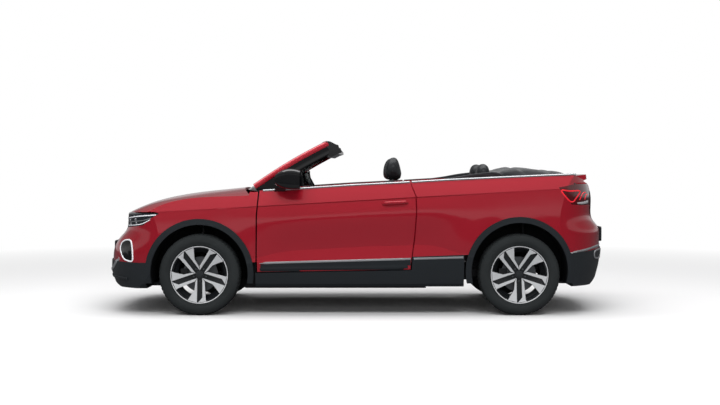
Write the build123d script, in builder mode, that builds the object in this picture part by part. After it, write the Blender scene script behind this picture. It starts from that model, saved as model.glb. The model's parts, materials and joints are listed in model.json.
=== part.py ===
"""Compact crossover convertible: two doors, four seats, soft top folded down.

Millimetres.  +X runs to the rear, the driver's side is -Y, +Z is up.  The origin is on
the ground, at half the overall length.
"""
from build123d import *
import os

os.makedirs("parts", exist_ok=True)

# ---- Driving dimensions -------------------------------------------------------------
overall_length = 4268.0
body_width = 1811.0
wheelbase = 2630.0
front_overhang = 836.0
front_track = 1546.0
rear_track = 1541.0

# Tyres and wheels
tyre_radius = 334.0
tyre_width = 215.0
rim_radius = 216.0
rim_flange_radius = 235.0
hub_radius = 72.0
spoke_count = 5
wheel_face_depth = 46.0
disc_radius = 145.0
disc_thickness = 22.0

# Body walls and gaps
skin_thickness = 20.0
cladding_stand = 10.0
door_inner_y = 745.0
quarter_inner_y = 700.0
door_gap = 11.0
panel_gap = 7.0
running_gap = 5.0
seat_gap = 0.3

# Wheel arches
front_arch_radius = 400.0
front_arch_height = 347.0
rear_arch_radius = 396.0
rear_arch_height = 367.0
arch_band = 48.0
liner_thickness = 6.0
front_liner_inner_y = 480.0
rear_liner_inner_y = 560.0
liner_outer_y = 862.0

# Doors and hinges
door_front_x = -829.0
door_hinge_back = 90.0
door_hinge_y = 861.0
hinge_pin_radius = 5.0
hinge_eye_wall = 3.5
hinge_heights = (470.0, 790.0)
hinge_leaf_height = 30.0

# Bonnet and boot lid
lid_hinge_y = 440.0
bonnet_half_width = 745.0
bonnet_hinge_x = -895.0
bonnet_hinge_z = 990.0
bonnet_hinge_y = 656.0
lid_front_x = 1815.0
lid_half_width = 580.0
lid_low_half_width = 530.0
lid_bottom_z = 700.0
lid_hinge_z = 1118.0

# Steering and suspension
kingpin_low_y = 738.0
kingpin_low_z = 230.0
kingpin_top_y = 565.0
kingpin_top_z = 840.0
strut_tube_radius = 26.0
strut_rod_radius = 11.0
spring_radius = 58.0
stub_radius = 29.0
ball_stud_radius = 8.0
rack_x = -1178.0
rack_z = 310.0
wheel_rim_radius = 176.0
grip_radius = 16.0
steering_tilt = 27.0
steering_x = -356.0
steering_z = 995.0
driver_y = 370.0

# Cabin
floor_thickness = 25.0
floor_z = 215.0
tunnel_half_width = 110.0
seat_width = 510.0
glass_thickness = 6.0
frame_depth = 70.0

# ---- Places worked out from them ----------------------------------------------------
half_width = body_width / 2
side_reach = half_width - cladding_stand
nose_x = -overall_length / 2 + cladding_stand
tail_x = overall_length / 2
front_axle_x = -overall_length / 2 + front_overhang
rear_axle_x = front_axle_x + wheelbase
door_hinge_x = door_front_x + door_gap / 2 + door_hinge_back
cowl_x = nose_x + 1232.0

# Height and distance behind the nose, up the front of the car on its centre line
front_face = [(262, 34), (300, 6), (350, 0), (440, 0), (520, 8), (585, 34), (645, 92), (700, 140), (760, 152), (850, 158),
              (1300, 160)]
# Height and distance ahead of the tail, up the back of the car
rear_face = [(250, 76), (323, 56), (420, 30), (530, 20), (640, 18), (705, 28), (765, 80), (815, 106), (880, 98),
              (960, 100), (1019, 108), (1060, 124), (1150, 146), (1300, 154)]
# Underside of nose and tail, and the deck behind the seats
under = [(nose_x - 60, 310), (nose_x + 30, 268), (nose_x + 150, 231), (tail_x - 418, 238), (tail_x - 202, 245),
         (tail_x - 62, 323), (tail_x + 60, 392)]
deck = [(1700, 1300), (1800, 1146), (1889, 1112), (2037, 1019), (2300, 854)]
belt = [(-900, 1018), (-788, 1032), (-474, 1050), (-62, 1077), (351, 1098), (763, 1122),
        (1176, 1141), (1588, 1159), (1760, 1166), (1900, 1168)]
# Along the side, at each station: how far in from the full width the lower crease lies and its height; how far in
# the flank lies at four shares of the way up to the shoulder; and the depth of the step under the shoulder
side_stations = [
    (-2200, 3, 430, 0, 0, 3, 9, 0.6),
    (-1298, 3, 445, 0, 0, 3, 9, 0.8),
    (-1010, 3, 452, 0, 0, 4, 10, 1.5),
    (-850, 4, 462, 2, 3, 5, 11, 7),
    (-722, 20, 512, 16, 7, 4, 12, 8),
    (-474, 28, 537, 22, 10, 4, 12, 8),
    (-62, 30, 561, 23, 11, 4, 12, 8),
    (351, 28, 578, 22, 10, 4, 12, 8),
    (640, 22, 576, 17, 8, 4, 12, 8),
    (846, 5, 512, 2, 2, 4, 12, 6),
    (1040, 3, 500, 0, 0, 3, 11, 1.5),
    (1332, 3, 500, 0, 0, 3, 10, 0.8),
    (2200, 3, 515, 0, 0, 3, 10, 0.6),
]
flank_shares = (0.2, 0.45, 0.7, 0.88)


def between(table, x):
    """The row of a table at x, by straight runs between its rows, whose first entries are places."""
    for low, high in zip(table, table[1:]):
        if x <= high[0]:
            share = max(0.0, (x - low[0]) / (high[0] - low[0]))
            return [a + share * (b - a) for a, b in zip(low[1:], high[1:])]
    return list(table[-1][1:])


def even(low, high, count):
    """Evenly spaced numbers from low to high, both with them."""
    return [low + (high - low) * i / (count - 1) for i in range(count)]


def setback(y, length, power):
    """How far the nose or tail has curved back at a distance y from the centre line."""
    share = min(abs(y) / half_width, 1.0)
    return length * (1 - (1 - share**power) ** (1 / power))


def bonnet_height(x, lead_x, y):
    """Height of the bonnet, falling to the nose and crowned across the car."""
    s = (cowl_x - x) / (cowl_x - lead_x)
    edge_drop = 28 + 30 * max(0.0, (x + 1400) / 571)
    return 1056 - 0.105 * (cowl_x - x) - 80 * max(s, 0) ** 4.8 - edge_drop * (y / bonnet_half_width) ** 2


def end_section(z, back, rear, stand):
    """The plan of the nose or the tail at one height, closed far off behind it."""
    toward = 1 if rear else -1
    extreme = tail_x if rear else nose_x
    bow = 150 if rear else 0
    depth = ((tail_x - rear_axle_x) if rear else (front_axle_x - nose_x)) - bow
    power = 3.6 if rear else 3.0
    reach = half_width + stand
    shares = (0, 0.3, 0.55, 0.75, 0.88, 0.955, 1.0)
    curve = []
    for share in [-s for s in reversed(shares)] + list(shares[1:]):
        fade = 1 - abs(share) ** 3
        x = extreme - toward * (setback(share * half_width, depth, power) + bow * share**2 + back * fade - stand)
        curve.append((x, share * reach))
    far = -toward * 2600
    with BuildSketch(Plane.XY.offset(z)) as section:
        with BuildLine():
            Spline(*curve, tangents=[(toward, 0), (-toward, 0)], tangent_scalars=[0.5, 0.5])
            Polyline(curve[-1], (far, reach), (far, -reach), curve[0])
        make_face()
    return section.sketch


def end_form(rear, stand):
    """The nose or the tail as a solid reaching right along the car."""
    with BuildPart() as end:
        face = rear_face if rear else front_face
        loft(sections=[end_section(z, between(face, z)[0], rear, stand) for z in even(100, 1300, 17)])
    return end.part


def top_section(y, stand):
    """The bonnet's line on the vertical plane at y, closed above the cabin and below the floor."""
    share = abs(y) / half_width
    lead_x = nose_x + 384 * share**4 + 156 * (1 - share**3) + 72
    line = [(lead_x - 90, bonnet_height(lead_x, lead_x, y) - 44)]
    line += [(x, bonnet_height(x, lead_x, y)) for x in (lead_x + t * (cowl_x - lead_x) for t in (0, 0.12, 0.3, 0.55, 1))]
    line = [(x, z + stand) for x, z in line]
    with BuildSketch(Plane.XZ.offset(-y)) as section:
        with BuildLine():
            Spline(*line)
            Polyline(line[-1], (cowl_x + 100, 1280), (2400, 1280), (2400, 100), (-2500, 100),
                     (-2500, line[0][1] - 180), line[0])
        make_face()
    return section.sketch


def side_section(x, stand):
    """The body's outline across the car at x: sill, lower crease, flank, shoulder with its step, belt."""
    crease_in, crease_z, *bulge, step = between(side_stations, x)
    w = side_reach - 20 * (x / tail_x) ** 2 + stand
    shoulder_z = 946 + 0.0574 * x
    low_z = min(455 + 0.03 * x, crease_z - 12)
    rise = shoulder_z - 8 - crease_z
    flank = [(w - crease_in, crease_z)]
    flank += [(w - inward, crease_z + share * rise) for inward, share in zip(bulge, flank_shares)]
    flank += [(w - 15 - step, shoulder_z - 8)]
    shoulder = [(w - 15 - step * 0.1, shoulder_z), (w - 34, shoulder_z + 50), (w - 75, 1087 + 0.0545 * x)]

    def left(points):
        return [(-y, z) for y, z in reversed(points)]

    with BuildSketch(Plane.YZ.offset(x)) as section:
        with BuildLine():
            base = [(w - 100, 150), (w - 30, 262), (w - 14, 366 + 0.018 * x), (w - 2, low_z), flank[0]]
            top = [shoulder[-1], (w - 110, 1300)]
            Polyline(*base)
            Spline(*flank)
            Line(flank[-1], shoulder[0])
            Spline(*shoulder)
            Polyline(*top)
            Line(top[-1], left(top)[0])
            Polyline(*left(top))
            Spline(*left(shoulder))
            Line(left(shoulder)[-1], left(flank)[0])
            Spline(*left(flank))
            Polyline(*left(base))
            Line(left(base)[-1], base[0])
        make_face()
    return section.sketch


def body_form(stand):
    """The whole body as one solid, its walls moved out by stand."""
    with BuildPart() as form:
        loft(sections=[side_section(x, stand) for x in even(-2200, 2200, 23)])
        add([end_form(False, stand)], mode=Mode.INTERSECT)
        add([end_form(True, stand)], mode=Mode.INTERSECT)
        with BuildPart(mode=Mode.INTERSECT):
            loft(sections=[top_section(y, stand) for y in even(-half_width - 60, half_width + 60, 9)])
        with BuildSketch(Plane.XZ.offset(-half_width - 80)):
            with BuildLine():
                Polyline(*[(x, z - stand) for x, z in under], *[(x, z + stand) for x, z in reversed(deck)], (-2600, 1300),
                         close=True)
            make_face()
        extrude(amount=2 * half_width + 160, mode=Mode.INTERSECT)
    return form.part


outer_form = body_form(0)
clad_form = body_form(cladding_stand)
inner_form = body_form(-skin_thickness)


def write(name, part):
    """Label one finished piece and write it to its own file."""
    part.label = name
    export_step(part, f"parts/{name}.step")


def both_sides(name, part):
    """Write a driver's side piece and its mirror image as two nodes."""
    write(f"{name}_left", part)
    write(f"{name}_right", part.mirror(Plane.XZ))


def cut_side(outline, form, inner_y):
    """The left side of a form inside an outline drawn in side view, outward of inner_y."""
    with BuildPart() as panel:
        with BuildSketch(Plane.XZ.offset(inner_y)):
            with BuildLine():
                Polyline(*outline, close=True)
            make_face()
        extrude(amount=half_width + 100 - inner_y)
        add(form, mode=Mode.INTERSECT)
    return panel.part


def arch_tube(axle_x, height, radius, inner_y, outer_y):
    """A solid round bar across the car at a wheel arch, between two distances from centre."""
    with BuildPart() as bar:
        with BuildSketch(Plane.XZ.offset(inner_y)):
            with Locations((axle_x, height)):
                Circle(radius)
        extrude(amount=outer_y - inner_y)
    return bar.part


def belt_height(x):
    """Height of the belt line, by straight runs between its points."""
    for (x0, z0), (x1, z1) in zip(belt, belt[1:]):
        if x <= x1:
            return z0 + (z1 - z0) * (x - x0) / (x1 - x0)
    return belt[-1][1]


def belt_between(x0, x1):
    """The belt line's points between two stations, both ends with it."""
    middle = [(x, z) for x, z in belt if x0 < x < x1]
    return [(x0, belt_height(x0)), *middle, (x1, belt_height(x1))]


# ---- Doors --------------------------------------------------------------------------
door_rear = [(447, 466), (470, 643), (486, 866), (480, 985), (437, 1101)]
door_top = [(x, z - 6) for x, z in belt_between(door_front_x + 24, 437)]
door_low_z = (355, 376)
clad_top_z = (440, 479)
gap = door_gap / 2
door_upper = [
    (door_front_x + gap, clad_top_z[0]),
    (door_front_x + gap + 3, 822),
    (door_front_x + gap + 19, 1015),
    *door_top[:-1],
    *[(x - gap, z - 4) for x, z in reversed(door_rear)],
]
door_lower = [
    (door_front_x + gap + 4, door_low_z[0] + 6),
    (door_front_x + gap + 4, clad_top_z[0]),
    (447 - gap, clad_top_z[1] - 10),
    (440 - gap, door_low_z[1] + 6),
]
hinge_room_x = door_hinge_x + 22
with BuildPart() as door:
    add(cut_side(door_upper, outer_form, door_inner_y))
    add(cut_side(door_lower, clad_form, door_inner_y))
    # Ahead of the hinges only the outer skin goes on to the shut line.
    with BuildPart(mode=Mode.PRIVATE) as hinge_room:
        with Locations((door_front_x, -door_inner_y, 700)):
            Box(2 * (hinge_room_x - door_front_x), 2 * (half_width - door_inner_y), 900)
        add([inner_form.moved(Location((0, -10, 0)))], mode=Mode.INTERSECT)
    add(hinge_room.part, mode=Mode.SUBTRACT)
    # The hinge eyes, one above each leaf of the body
    for z in hinge_heights:
        with BuildSketch(Plane.XY.offset(z + hinge_leaf_height / 2 + seat_gap)):
            with Locations((door_hinge_x, -door_hinge_y)):
                Circle(hinge_pin_radius + hinge_eye_wall)
            with Locations((door_hinge_x + 18, -door_hinge_y + 4)):
                Rectangle(36, 16)
            with Locations((door_hinge_x, -door_hinge_y)):
                Circle(hinge_pin_radius + seat_gap, mode=Mode.SUBTRACT)
        extrude(amount=hinge_leaf_height)
both_sides("door", door.part)

# ---- Door mirrors -------------------------------------------------------------------
mirror_centre = (-566, -922, 1121)
with BuildPart() as mirror_cap:
    with BuildSketch(Plane.YZ.offset(mirror_centre[0] - 102)) as nose:
        with Locations((mirror_centre[1] + 4, mirror_centre[2] - 6)):
            RectangleRounded(60, 76, 24)
    with BuildSketch(Plane.YZ.offset(mirror_centre[0] - 30)) as waist:
        with Locations((mirror_centre[1], mirror_centre[2])):
            RectangleRounded(136, 150, 40)
    with BuildSketch(Plane.YZ.offset(mirror_centre[0] + 100)) as back:
        with Locations((mirror_centre[1], mirror_centre[2] - 6)):
            RectangleRounded(144, 152, 40)
    loft()
    with BuildSketch(Plane.YZ.offset(mirror_centre[0] + 100)):
        with Locations((mirror_centre[1], mirror_centre[2] - 6)):
            RectangleRounded(128, 136, 34)
    extrude(amount=-12, mode=Mode.SUBTRACT)
    # The foot reaches down and inward to the corner of the door's waist.
    with BuildSketch(Plane.XY.offset(belt_height(-640) - 22)):
        with Locations((-640, -812)):
            RectangleRounded(96, 50, 12)
    with BuildSketch(Plane.XY.offset(mirror_centre[2] - 30)):
        with Locations((-615, -880)):
            RectangleRounded(80, 44, 12)
    loft()
    add(outer_form, mode=Mode.SUBTRACT)
both_sides("mirror", mirror_cap.part)

# ---- Bonnet -------------------------------------------------------------------------
bonnet_rear_x = (-985, -905)
bonnet_front_x = (nose_x + 170, -1908)
edge = bonnet_half_width
with BuildPart() as bonnet:
    with BuildSketch(Plane.XY.offset(700)):
        with BuildLine():
            ThreePointArc((bonnet_rear_x[1], -edge), (bonnet_rear_x[0], 0), (bonnet_rear_x[1], edge))
            Line((bonnet_rear_x[1], edge), (-1640, edge - 16))
            Line((-1640, edge - 16), (bonnet_front_x[1], 660))
            ThreePointArc((bonnet_front_x[1], 660), (bonnet_front_x[0], 0), (bonnet_front_x[1], -660))
            Line((bonnet_front_x[1], -660), (-1640, 16 - edge))
            Line((-1640, 16 - edge), (bonnet_rear_x[1], -edge))
        make_face()
    extrude(amount=500)
    add(outer_form, mode=Mode.INTERSECT)
    add(inner_form, mode=Mode.SUBTRACT)
    # Anything of the nose's own wall that hangs below the leading edge goes.
    with Locations((nose_x, 0, 700)):
        Box(900, body_width, 2 * (842 - 700), mode=Mode.SUBTRACT)
    # The hinge eyes behind its rear edge, with their straps
    for side in (-1, 1):
        with BuildSketch(Plane.XZ.offset(-side * (bonnet_hinge_y + 10) - 10)):
            with Locations((bonnet_hinge_x, bonnet_hinge_z)):
                Circle(hinge_pin_radius + hinge_eye_wall)
            with Locations((bonnet_hinge_x - 26, bonnet_hinge_z + 1)):
                Rectangle(52, 10)
            with Locations((bonnet_hinge_x, bonnet_hinge_z)):
                Circle(hinge_pin_radius + seat_gap, mode=Mode.SUBTRACT)
        extrude(amount=20)
write("bonnet", bonnet.part)

# ---- Front wings --------------------------------------------------------------------
seam_top = (-1690, 800)
seam_low = (-1668, 610)
lamp_tip = (-1625, 836)
wing_outline = [
    (door_front_x - gap, clad_top_z[0]),
    (front_axle_x + 438, clad_top_z[0]),
    (front_axle_x + 320, front_arch_height + 20),
    (front_axle_x - 330, front_arch_height + 20),
    seam_low,
    seam_top,
    lamp_tip,
    (-1660, 852),
    (-1985, 842),
    (-1900, 1080),
    (-960, 1080),
    (-900, belt_height(-900) - 4),
    (door_front_x - gap + 19, 1015),
    (door_front_x - gap + 3, 822),
]
bonnet_room = bonnet_half_width + panel_gap
arch_ring = front_arch_radius + arch_band
with BuildPart() as bonnet_opening:
    with BuildSketch(Plane.XY.offset(700)):
        with BuildLine():
            Polyline(
                (bonnet_rear_x[1] + panel_gap + 60, 0),
                (bonnet_rear_x[1] + panel_gap + 60, -bonnet_room),
                (-1640, 16 - bonnet_room),
                (bonnet_front_x[1], -660 - panel_gap),
                (-2200, -660 - panel_gap),
                (-2200, 0),
                close=True,
            )
        make_face()
    extrude(amount=500)
with BuildPart() as wing:
    add(cut_side(wing_outline, outer_form, 300))
    add(inner_form, mode=Mode.SUBTRACT)
    add(arch_tube(front_axle_x, front_arch_height, arch_ring, 300, half_width + 50), mode=Mode.SUBTRACT)
    add(bonnet_opening.part, mode=Mode.SUBTRACT)
both_sides("front_wing", wing.part)

# ---- Rear quarter panels ------------------------------------------------------------
lamp_outline = [(1650, 1052), (1762, 911), (1850, 905), (2200, 905), (2200, 1080), (1800, 1080)]
quarter_rear = [(1650, 757), (1762, 911), (1650, 1052), (1800, 1080), (2200, 1080)]
quarter_outline = [
    (447 + gap, 485),
    (rear_axle_x - rear_arch_radius - 62, 500),
    (rear_axle_x - 380, 500),
    (rear_axle_x, rear_arch_height + 100),
    (rear_axle_x + 330, rear_arch_height + 160),
    *quarter_rear,
    (2200, 1166),
    *[(x, z - 6) for x, z in reversed(belt_between(437, 1900))],
    *[(x + gap, z - 4) for x, z in reversed(door_rear[1:-1])],
]
rear_ring = rear_arch_radius + arch_band
with BuildPart() as quarter:
    add(cut_side(quarter_outline, outer_form, quarter_inner_y))
    add(arch_tube(rear_axle_x, rear_arch_height, rear_ring, 600, half_width + 50), mode=Mode.SUBTRACT)
    # Behind the axle the wall is a skin again, so that the boot reaches out to it.
    with Locations((1760 + 300, -quarter_inner_y, 860)):
        Box(600, 2 * 130, 460, mode=Mode.SUBTRACT)
both_sides("quarter_panel", quarter.part)

# ---- Sills --------------------------------------------------------------------------
sill_bottom = (238, 238)
sill_front_x = front_axle_x + front_arch_radius + 26
sill_rear_x = rear_axle_x - rear_arch_radius - 26
sill_outline = [
    (sill_front_x + 36, sill_bottom[0]),
    (sill_front_x + 36, clad_top_z[0]),
    (door_front_x - gap, clad_top_z[0]),
    (door_front_x - gap, door_low_z[0] - gap + 2),
    (440 + gap, door_low_z[1] - gap + 4),
    (447 + gap, 485),
    (sill_rear_x - 36, 500),
    (sill_rear_x - 36, sill_bottom[1]),
]
with BuildPart() as sill:
    add(cut_side(sill_outline, clad_form, door_inner_y))
write("sills", Part() + [sill.part, sill.part.mirror(Plane.XZ)])

# ---- Arch cladding: one black band round each wheel arch ----------------------------
with BuildPart() as front_band:
    add(arch_tube(front_axle_x, front_arch_height, arch_ring - seat_gap, 640, half_width + 60))
    add(arch_tube(front_axle_x, front_arch_height, front_arch_radius, 600, half_width + 80), mode=Mode.SUBTRACT)
    add(clad_form, mode=Mode.INTERSECT)
    add(inner_form, mode=Mode.SUBTRACT)
    with Locations((front_axle_x, -half_width, sill_bottom[0] - 200 + 26)):
        Box(1200, 700, 400, mode=Mode.SUBTRACT)
with BuildPart() as rear_band:
    add(arch_tube(rear_axle_x, rear_arch_height, rear_ring - seat_gap, 640, half_width + 60))
    add(arch_tube(rear_axle_x, rear_arch_height, rear_arch_radius, 600, half_width + 80), mode=Mode.SUBTRACT)
    add(clad_form, mode=Mode.INTERSECT)
    add(inner_form, mode=Mode.SUBTRACT)
    with Locations((rear_axle_x, -half_width, sill_bottom[1] - 200 + 26)):
        Box(1200, 700, 400, mode=Mode.SUBTRACT)
bands = [front_band.part, rear_band.part]
write("arch_cladding", Part() + bands + [band.mirror(Plane.XZ) for band in bands])


# ---- Wheel housings -----------------------------------------------------------------
def housing(axle_x, height, radius, inner_y, strut_y, arm_room):
    """The liner over one wheel, open below, with the hole that the strut comes through."""
    with BuildPart() as liner:
        add(arch_tube(axle_x, height, radius + liner_thickness, inner_y, liner_outer_y))
        add(arch_tube(axle_x, height, radius, inner_y - 10, liner_outer_y + 10), mode=Mode.SUBTRACT)
        with Locations((axle_x, -700, sill_bottom[1] - 270)):
            Box(1200, 700, 600, mode=Mode.SUBTRACT)
        with BuildSketch(Plane.XY.offset(height)):
            with Locations((axle_x, -strut_y)):
                Circle(spring_radius + 14)
        extrude(amount=radius + 60, mode=Mode.SUBTRACT)
        # The wall on the car's side, open round the axle and the suspension
        add(arch_tube(axle_x, height, radius + liner_thickness, inner_y - liner_thickness, inner_y))
        with Locations((axle_x, -inner_y, 0)):
            Box(390, 60, 2 * 430, mode=Mode.SUBTRACT)
            Box(1200, 60, 2 * (sill_bottom[1] + 30), mode=Mode.SUBTRACT)
            Box(arm_room, 60, 2 * 430, align=(Align.MAX, Align.CENTER, Align.CENTER), mode=Mode.SUBTRACT)
        add(inner_form, mode=Mode.INTERSECT)
    return liner.part


strut_hole_y = 592
liner_radius = front_arch_radius + 4
rear_strut_y = 640
liners = [
    housing(front_axle_x, front_arch_height, liner_radius, front_liner_inner_y, strut_hole_y, 195),
    housing(rear_axle_x, rear_arch_height, rear_arch_radius + 4, rear_liner_inner_y, rear_strut_y, 420),
]
write("wheel_housings", Part() + liners + [liner.mirror(Plane.XZ) for liner in liners])

# ---- Front bumper, with the lamp and intake openings --------------------------------
bumper_outline = [
    (front_axle_x - 380, 432),
    seam_low,
    seam_top,
    (-1761, 741),
    (-1925, 716),
    (-2200, 716),
    (-2200, 432),
]
front_low_outline = [
    (front_axle_x - 330, 160),
    (front_axle_x - 330, 432),
    (-2200, 432),
    (-2200, 160),
]
front_arch_bar = arch_tube(front_axle_x, front_arch_height, arch_ring, 600, half_width + 60)
intake_half_width = 430.0
intake_low_z = 462.0
intake_top_z = 606.0


def intake_block(inset):
    """The lower intake's opening as a block through the nose."""
    with BuildPart() as block:
        with BuildSketch(Plane.YZ.offset(nose_x - 60)):
            with Locations((0, (intake_low_z + intake_top_z) / 2)):
                RectangleRounded(2 * (intake_half_width - inset), intake_top_z - intake_low_z - 2 * inset, 40)
        extrude(amount=300)
    return block.part


with BuildPart() as front_bumper:
    add(cut_side(bumper_outline, outer_form, 0))
    mirror(about=Plane.XZ)
    add(inner_form, mode=Mode.SUBTRACT)
    add([front_arch_bar, front_arch_bar.mirror(Plane.XZ)], mode=Mode.SUBTRACT)
    add(intake_block(0), mode=Mode.SUBTRACT)
write("front_bumper", front_bumper.part)

with BuildPart() as front_valance:
    add(cut_side(front_low_outline, clad_form, 0))
    mirror(about=Plane.XZ)
    add(inner_form, mode=Mode.SUBTRACT)
    add([front_arch_bar, front_arch_bar.mirror(Plane.XZ)], mode=Mode.SUBTRACT)
write("front_valance", front_valance.part)

# ---- Headlamps and the grille between them ------------------------------------------
headlamp_outline = [
    (-2200, 716),
    (-1925, 716),
    (-1761, 741),
    seam_top,
    lamp_tip,
    (-1660, 852),
    (-1985, 836),
    (-2200, 836),
]
headlamp_inner_y = 520.0
with BuildPart() as headlamp:
    add(cut_side(headlamp_outline, outer_form, headlamp_inner_y))
    add(inner_form, mode=Mode.SUBTRACT)
    with Locations((-1900, -700, 842 - panel_gap / 2 + 100)):
        Box(900, 1200, 200, mode=Mode.SUBTRACT)
write("headlamps", Part() + [headlamp.part, headlamp.part.mirror(Plane.XZ)])

with BuildPart() as grille:
    with BuildSketch(Plane.XZ.offset(-headlamp_inner_y + 3)):
        with BuildLine():
            Polyline((-2200, 716), (-1700, 716), (-1700, 836), (-2200, 836), close=True)
        make_face()
    extrude(amount=2 * (headlamp_inner_y - 3))
    add(outer_form, mode=Mode.INTERSECT)
    add(inner_form, mode=Mode.SUBTRACT)
# The panel in the lower intake, set back from the bumper's face
with BuildPart() as intake_panel:
    add(intake_block(seat_gap))
    add(end_form(False, -9), mode=Mode.INTERSECT)
    add(end_form(False, 1 - skin_thickness), mode=Mode.SUBTRACT)
write("front_grille", Part() + [grille.part, intake_panel.part])

# ---- Tail: boot lid, lamps, bumper and valance --------------------------------------
lid_shoulder_z = 812
with BuildPart() as lid_space:
    with BuildSketch(Plane.YZ.offset(lid_front_x)):
        with BuildLine():
            Polyline(
                (-lid_half_width, 1200),
                (-lid_half_width, lid_shoulder_z + 40),
                (-lid_low_half_width, lid_shoulder_z - 20),
                (-lid_low_half_width, lid_bottom_z),
                (lid_low_half_width, lid_bottom_z),
                (lid_low_half_width, lid_shoulder_z - 20),
                (lid_half_width, lid_shoulder_z + 40),
                (lid_half_width, 1200),
                close=True,
            )
        make_face()
    extrude(amount=400)
with BuildPart() as boot_lid:
    add(lid_space.part)
    add(outer_form, mode=Mode.INTERSECT)
    # The hollow behind the lid's own wall
    with BuildSketch(Plane.XZ.offset(-half_width)):
        with BuildLine():
            Polyline(
                (1700, 1108),
                (1872, 1076),
                (1985, 1000),
                (1995, 860),
                (1975, 790),
                (2030, lid_bottom_z),
                (1700, lid_bottom_z),
                close=True,
            )
        make_face()
    extrude(amount=body_width, mode=Mode.SUBTRACT)
    # The spoiler lip over the rear of the lid, curved in plan like the tail
    with BuildPart(mode=Mode.PRIVATE) as spoiler:
        with BuildSketch(Plane.XZ.offset(-lid_half_width + 6)):
            with BuildLine():
                Polyline(
                    (lid_front_x + 10, 1120),
                    (lid_front_x + 20, 1147),
                    (1920, 1157),
                    (2020, 1158),
                    (2020, 1150),
                    (1990, 1140),
                    (1900, 1104),
                    close=True,
                )
            make_face()
        extrude(amount=2 * (lid_half_width - 6))
        add(end_form(True, 0), mode=Mode.INTERSECT)
    add(spoiler.part)
    # Room for the body's hinge ears, then the lid's own eyes and straps
    for side in (-1, 1):
        with Locations((lid_front_x - 5, side * lid_hinge_y, 1080)):
            Box(44, 56, 1136 - 1080, align=(Align.MIN, Align.CENTER, Align.MIN), mode=Mode.SUBTRACT)
        with BuildSketch(Plane.XZ.offset(-side * (lid_hinge_y + 10) - 10)):
            with Locations((lid_front_x, lid_hinge_z)):
                Circle(hinge_pin_radius + hinge_eye_wall)
            with Locations((lid_front_x + 22, lid_hinge_z + 5)):
                Rectangle(44, 12)
            with Locations((lid_front_x, lid_hinge_z)):
                Circle(hinge_pin_radius + seat_gap, mode=Mode.SUBTRACT)
        extrude(amount=20)
write("boot_lid", boot_lid.part)

with BuildPart() as lid_opening:
    add(offset(lid_space.part, amount=panel_gap, kind=Kind.INTERSECTION, mode=Mode.PRIVATE))

with BuildPart() as tail_lamp:
    add(cut_side(lamp_outline, outer_form, lid_half_width + panel_gap))
    add(inner_form, mode=Mode.SUBTRACT)
write("tail_lamps", Part() + [tail_lamp.part, tail_lamp.part.mirror(Plane.XZ)])

rear_seam_z = (511, 540)
rear_bumper_outline = [
    (rear_axle_x + 380, rear_seam_z[0]),
    (rear_axle_x + 330, rear_arch_height + 160),
    (1650, 757),
    (1762, 911),
    (1850, 905),
    (2200, 905),
    (2200, rear_seam_z[1]),
]
valance_outline = [
    (rear_axle_x + 330, 240),
    (rear_axle_x + 380, rear_seam_z[0]),
    (2200, rear_seam_z[1]),
    (2200, 240),
]
rear_arch_bar = arch_tube(rear_axle_x, rear_arch_height, rear_ring, 600, half_width + 60)
with BuildPart() as rear_bumper:
    add(cut_side(rear_bumper_outline, outer_form, 0))
    mirror(about=Plane.XZ)
    add(inner_form, mode=Mode.SUBTRACT)
    add([rear_arch_bar, rear_arch_bar.mirror(Plane.XZ)], mode=Mode.SUBTRACT)
    add(lid_opening.part, mode=Mode.SUBTRACT)
write("rear_bumper", rear_bumper.part)
with BuildPart() as rear_valance:
    add(cut_side(valance_outline, clad_form, 0))
    mirror(about=Plane.XZ)
    add(inner_form, mode=Mode.SUBTRACT)
    add([rear_arch_bar, rear_arch_bar.mirror(Plane.XZ)], mode=Mode.SUBTRACT)
write("rear_valance", rear_valance.part)

# ---- Windscreen and its frame -------------------------------------------------------
screen_foot = (-935, 1053)
screen_head = (-309, 1436)


def screen_slab(low, high, half_reach):
    """A curved slab that follows the windscreen, between two depths under its outer face."""
    sections = []
    for share in (-1, -0.66, -0.33, 0, 0.33, 0.66, 1):
        y = share * half_reach
        foot = (screen_foot[0] + 135 * (y / 700) ** 2, screen_foot[1] - 10 * (y / 700) ** 2)
        head = (screen_head[0] + 56 * (y / 560) ** 2, screen_head[1] - 6 * (y / 560) ** 2)
        along = (Vector(head[0], head[1]) - Vector(foot[0], foot[1])).normalized()
        into = Vector(along.Y, -along.X)
        start = Vector(*foot) - along * 40
        end = Vector(*head)
        corners = [start + into * low, end + into * low, end + into * high, start + into * high]
        with BuildSketch(Plane.XZ.offset(-y)) as section:
            with BuildLine():
                Polyline(*[(c.X, c.Y) for c in corners], close=True)
            make_face()
        sections.append(section.sketch)
    with BuildPart() as slab:
        loft(sections=sections)
    return slab.part


screen_middle = ((screen_foot[0] + screen_head[0]) / 2, (screen_foot[1] + screen_head[1]) / 2)
screen_run = (screen_head[0] - screen_foot[0], screen_head[1] - screen_foot[1])
screen_plane = Plane(
    origin=(screen_middle[0], 0, screen_middle[1]), x_dir=(0, 1, 0), z_dir=(-screen_run[1], 0, screen_run[0])
)
screen_half = (screen_run[0] ** 2 + screen_run[1] ** 2) ** 0.5 / 2
foot_half_width = 742.0
head_half_width = 612.0
pillar_width = 62.0


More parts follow.
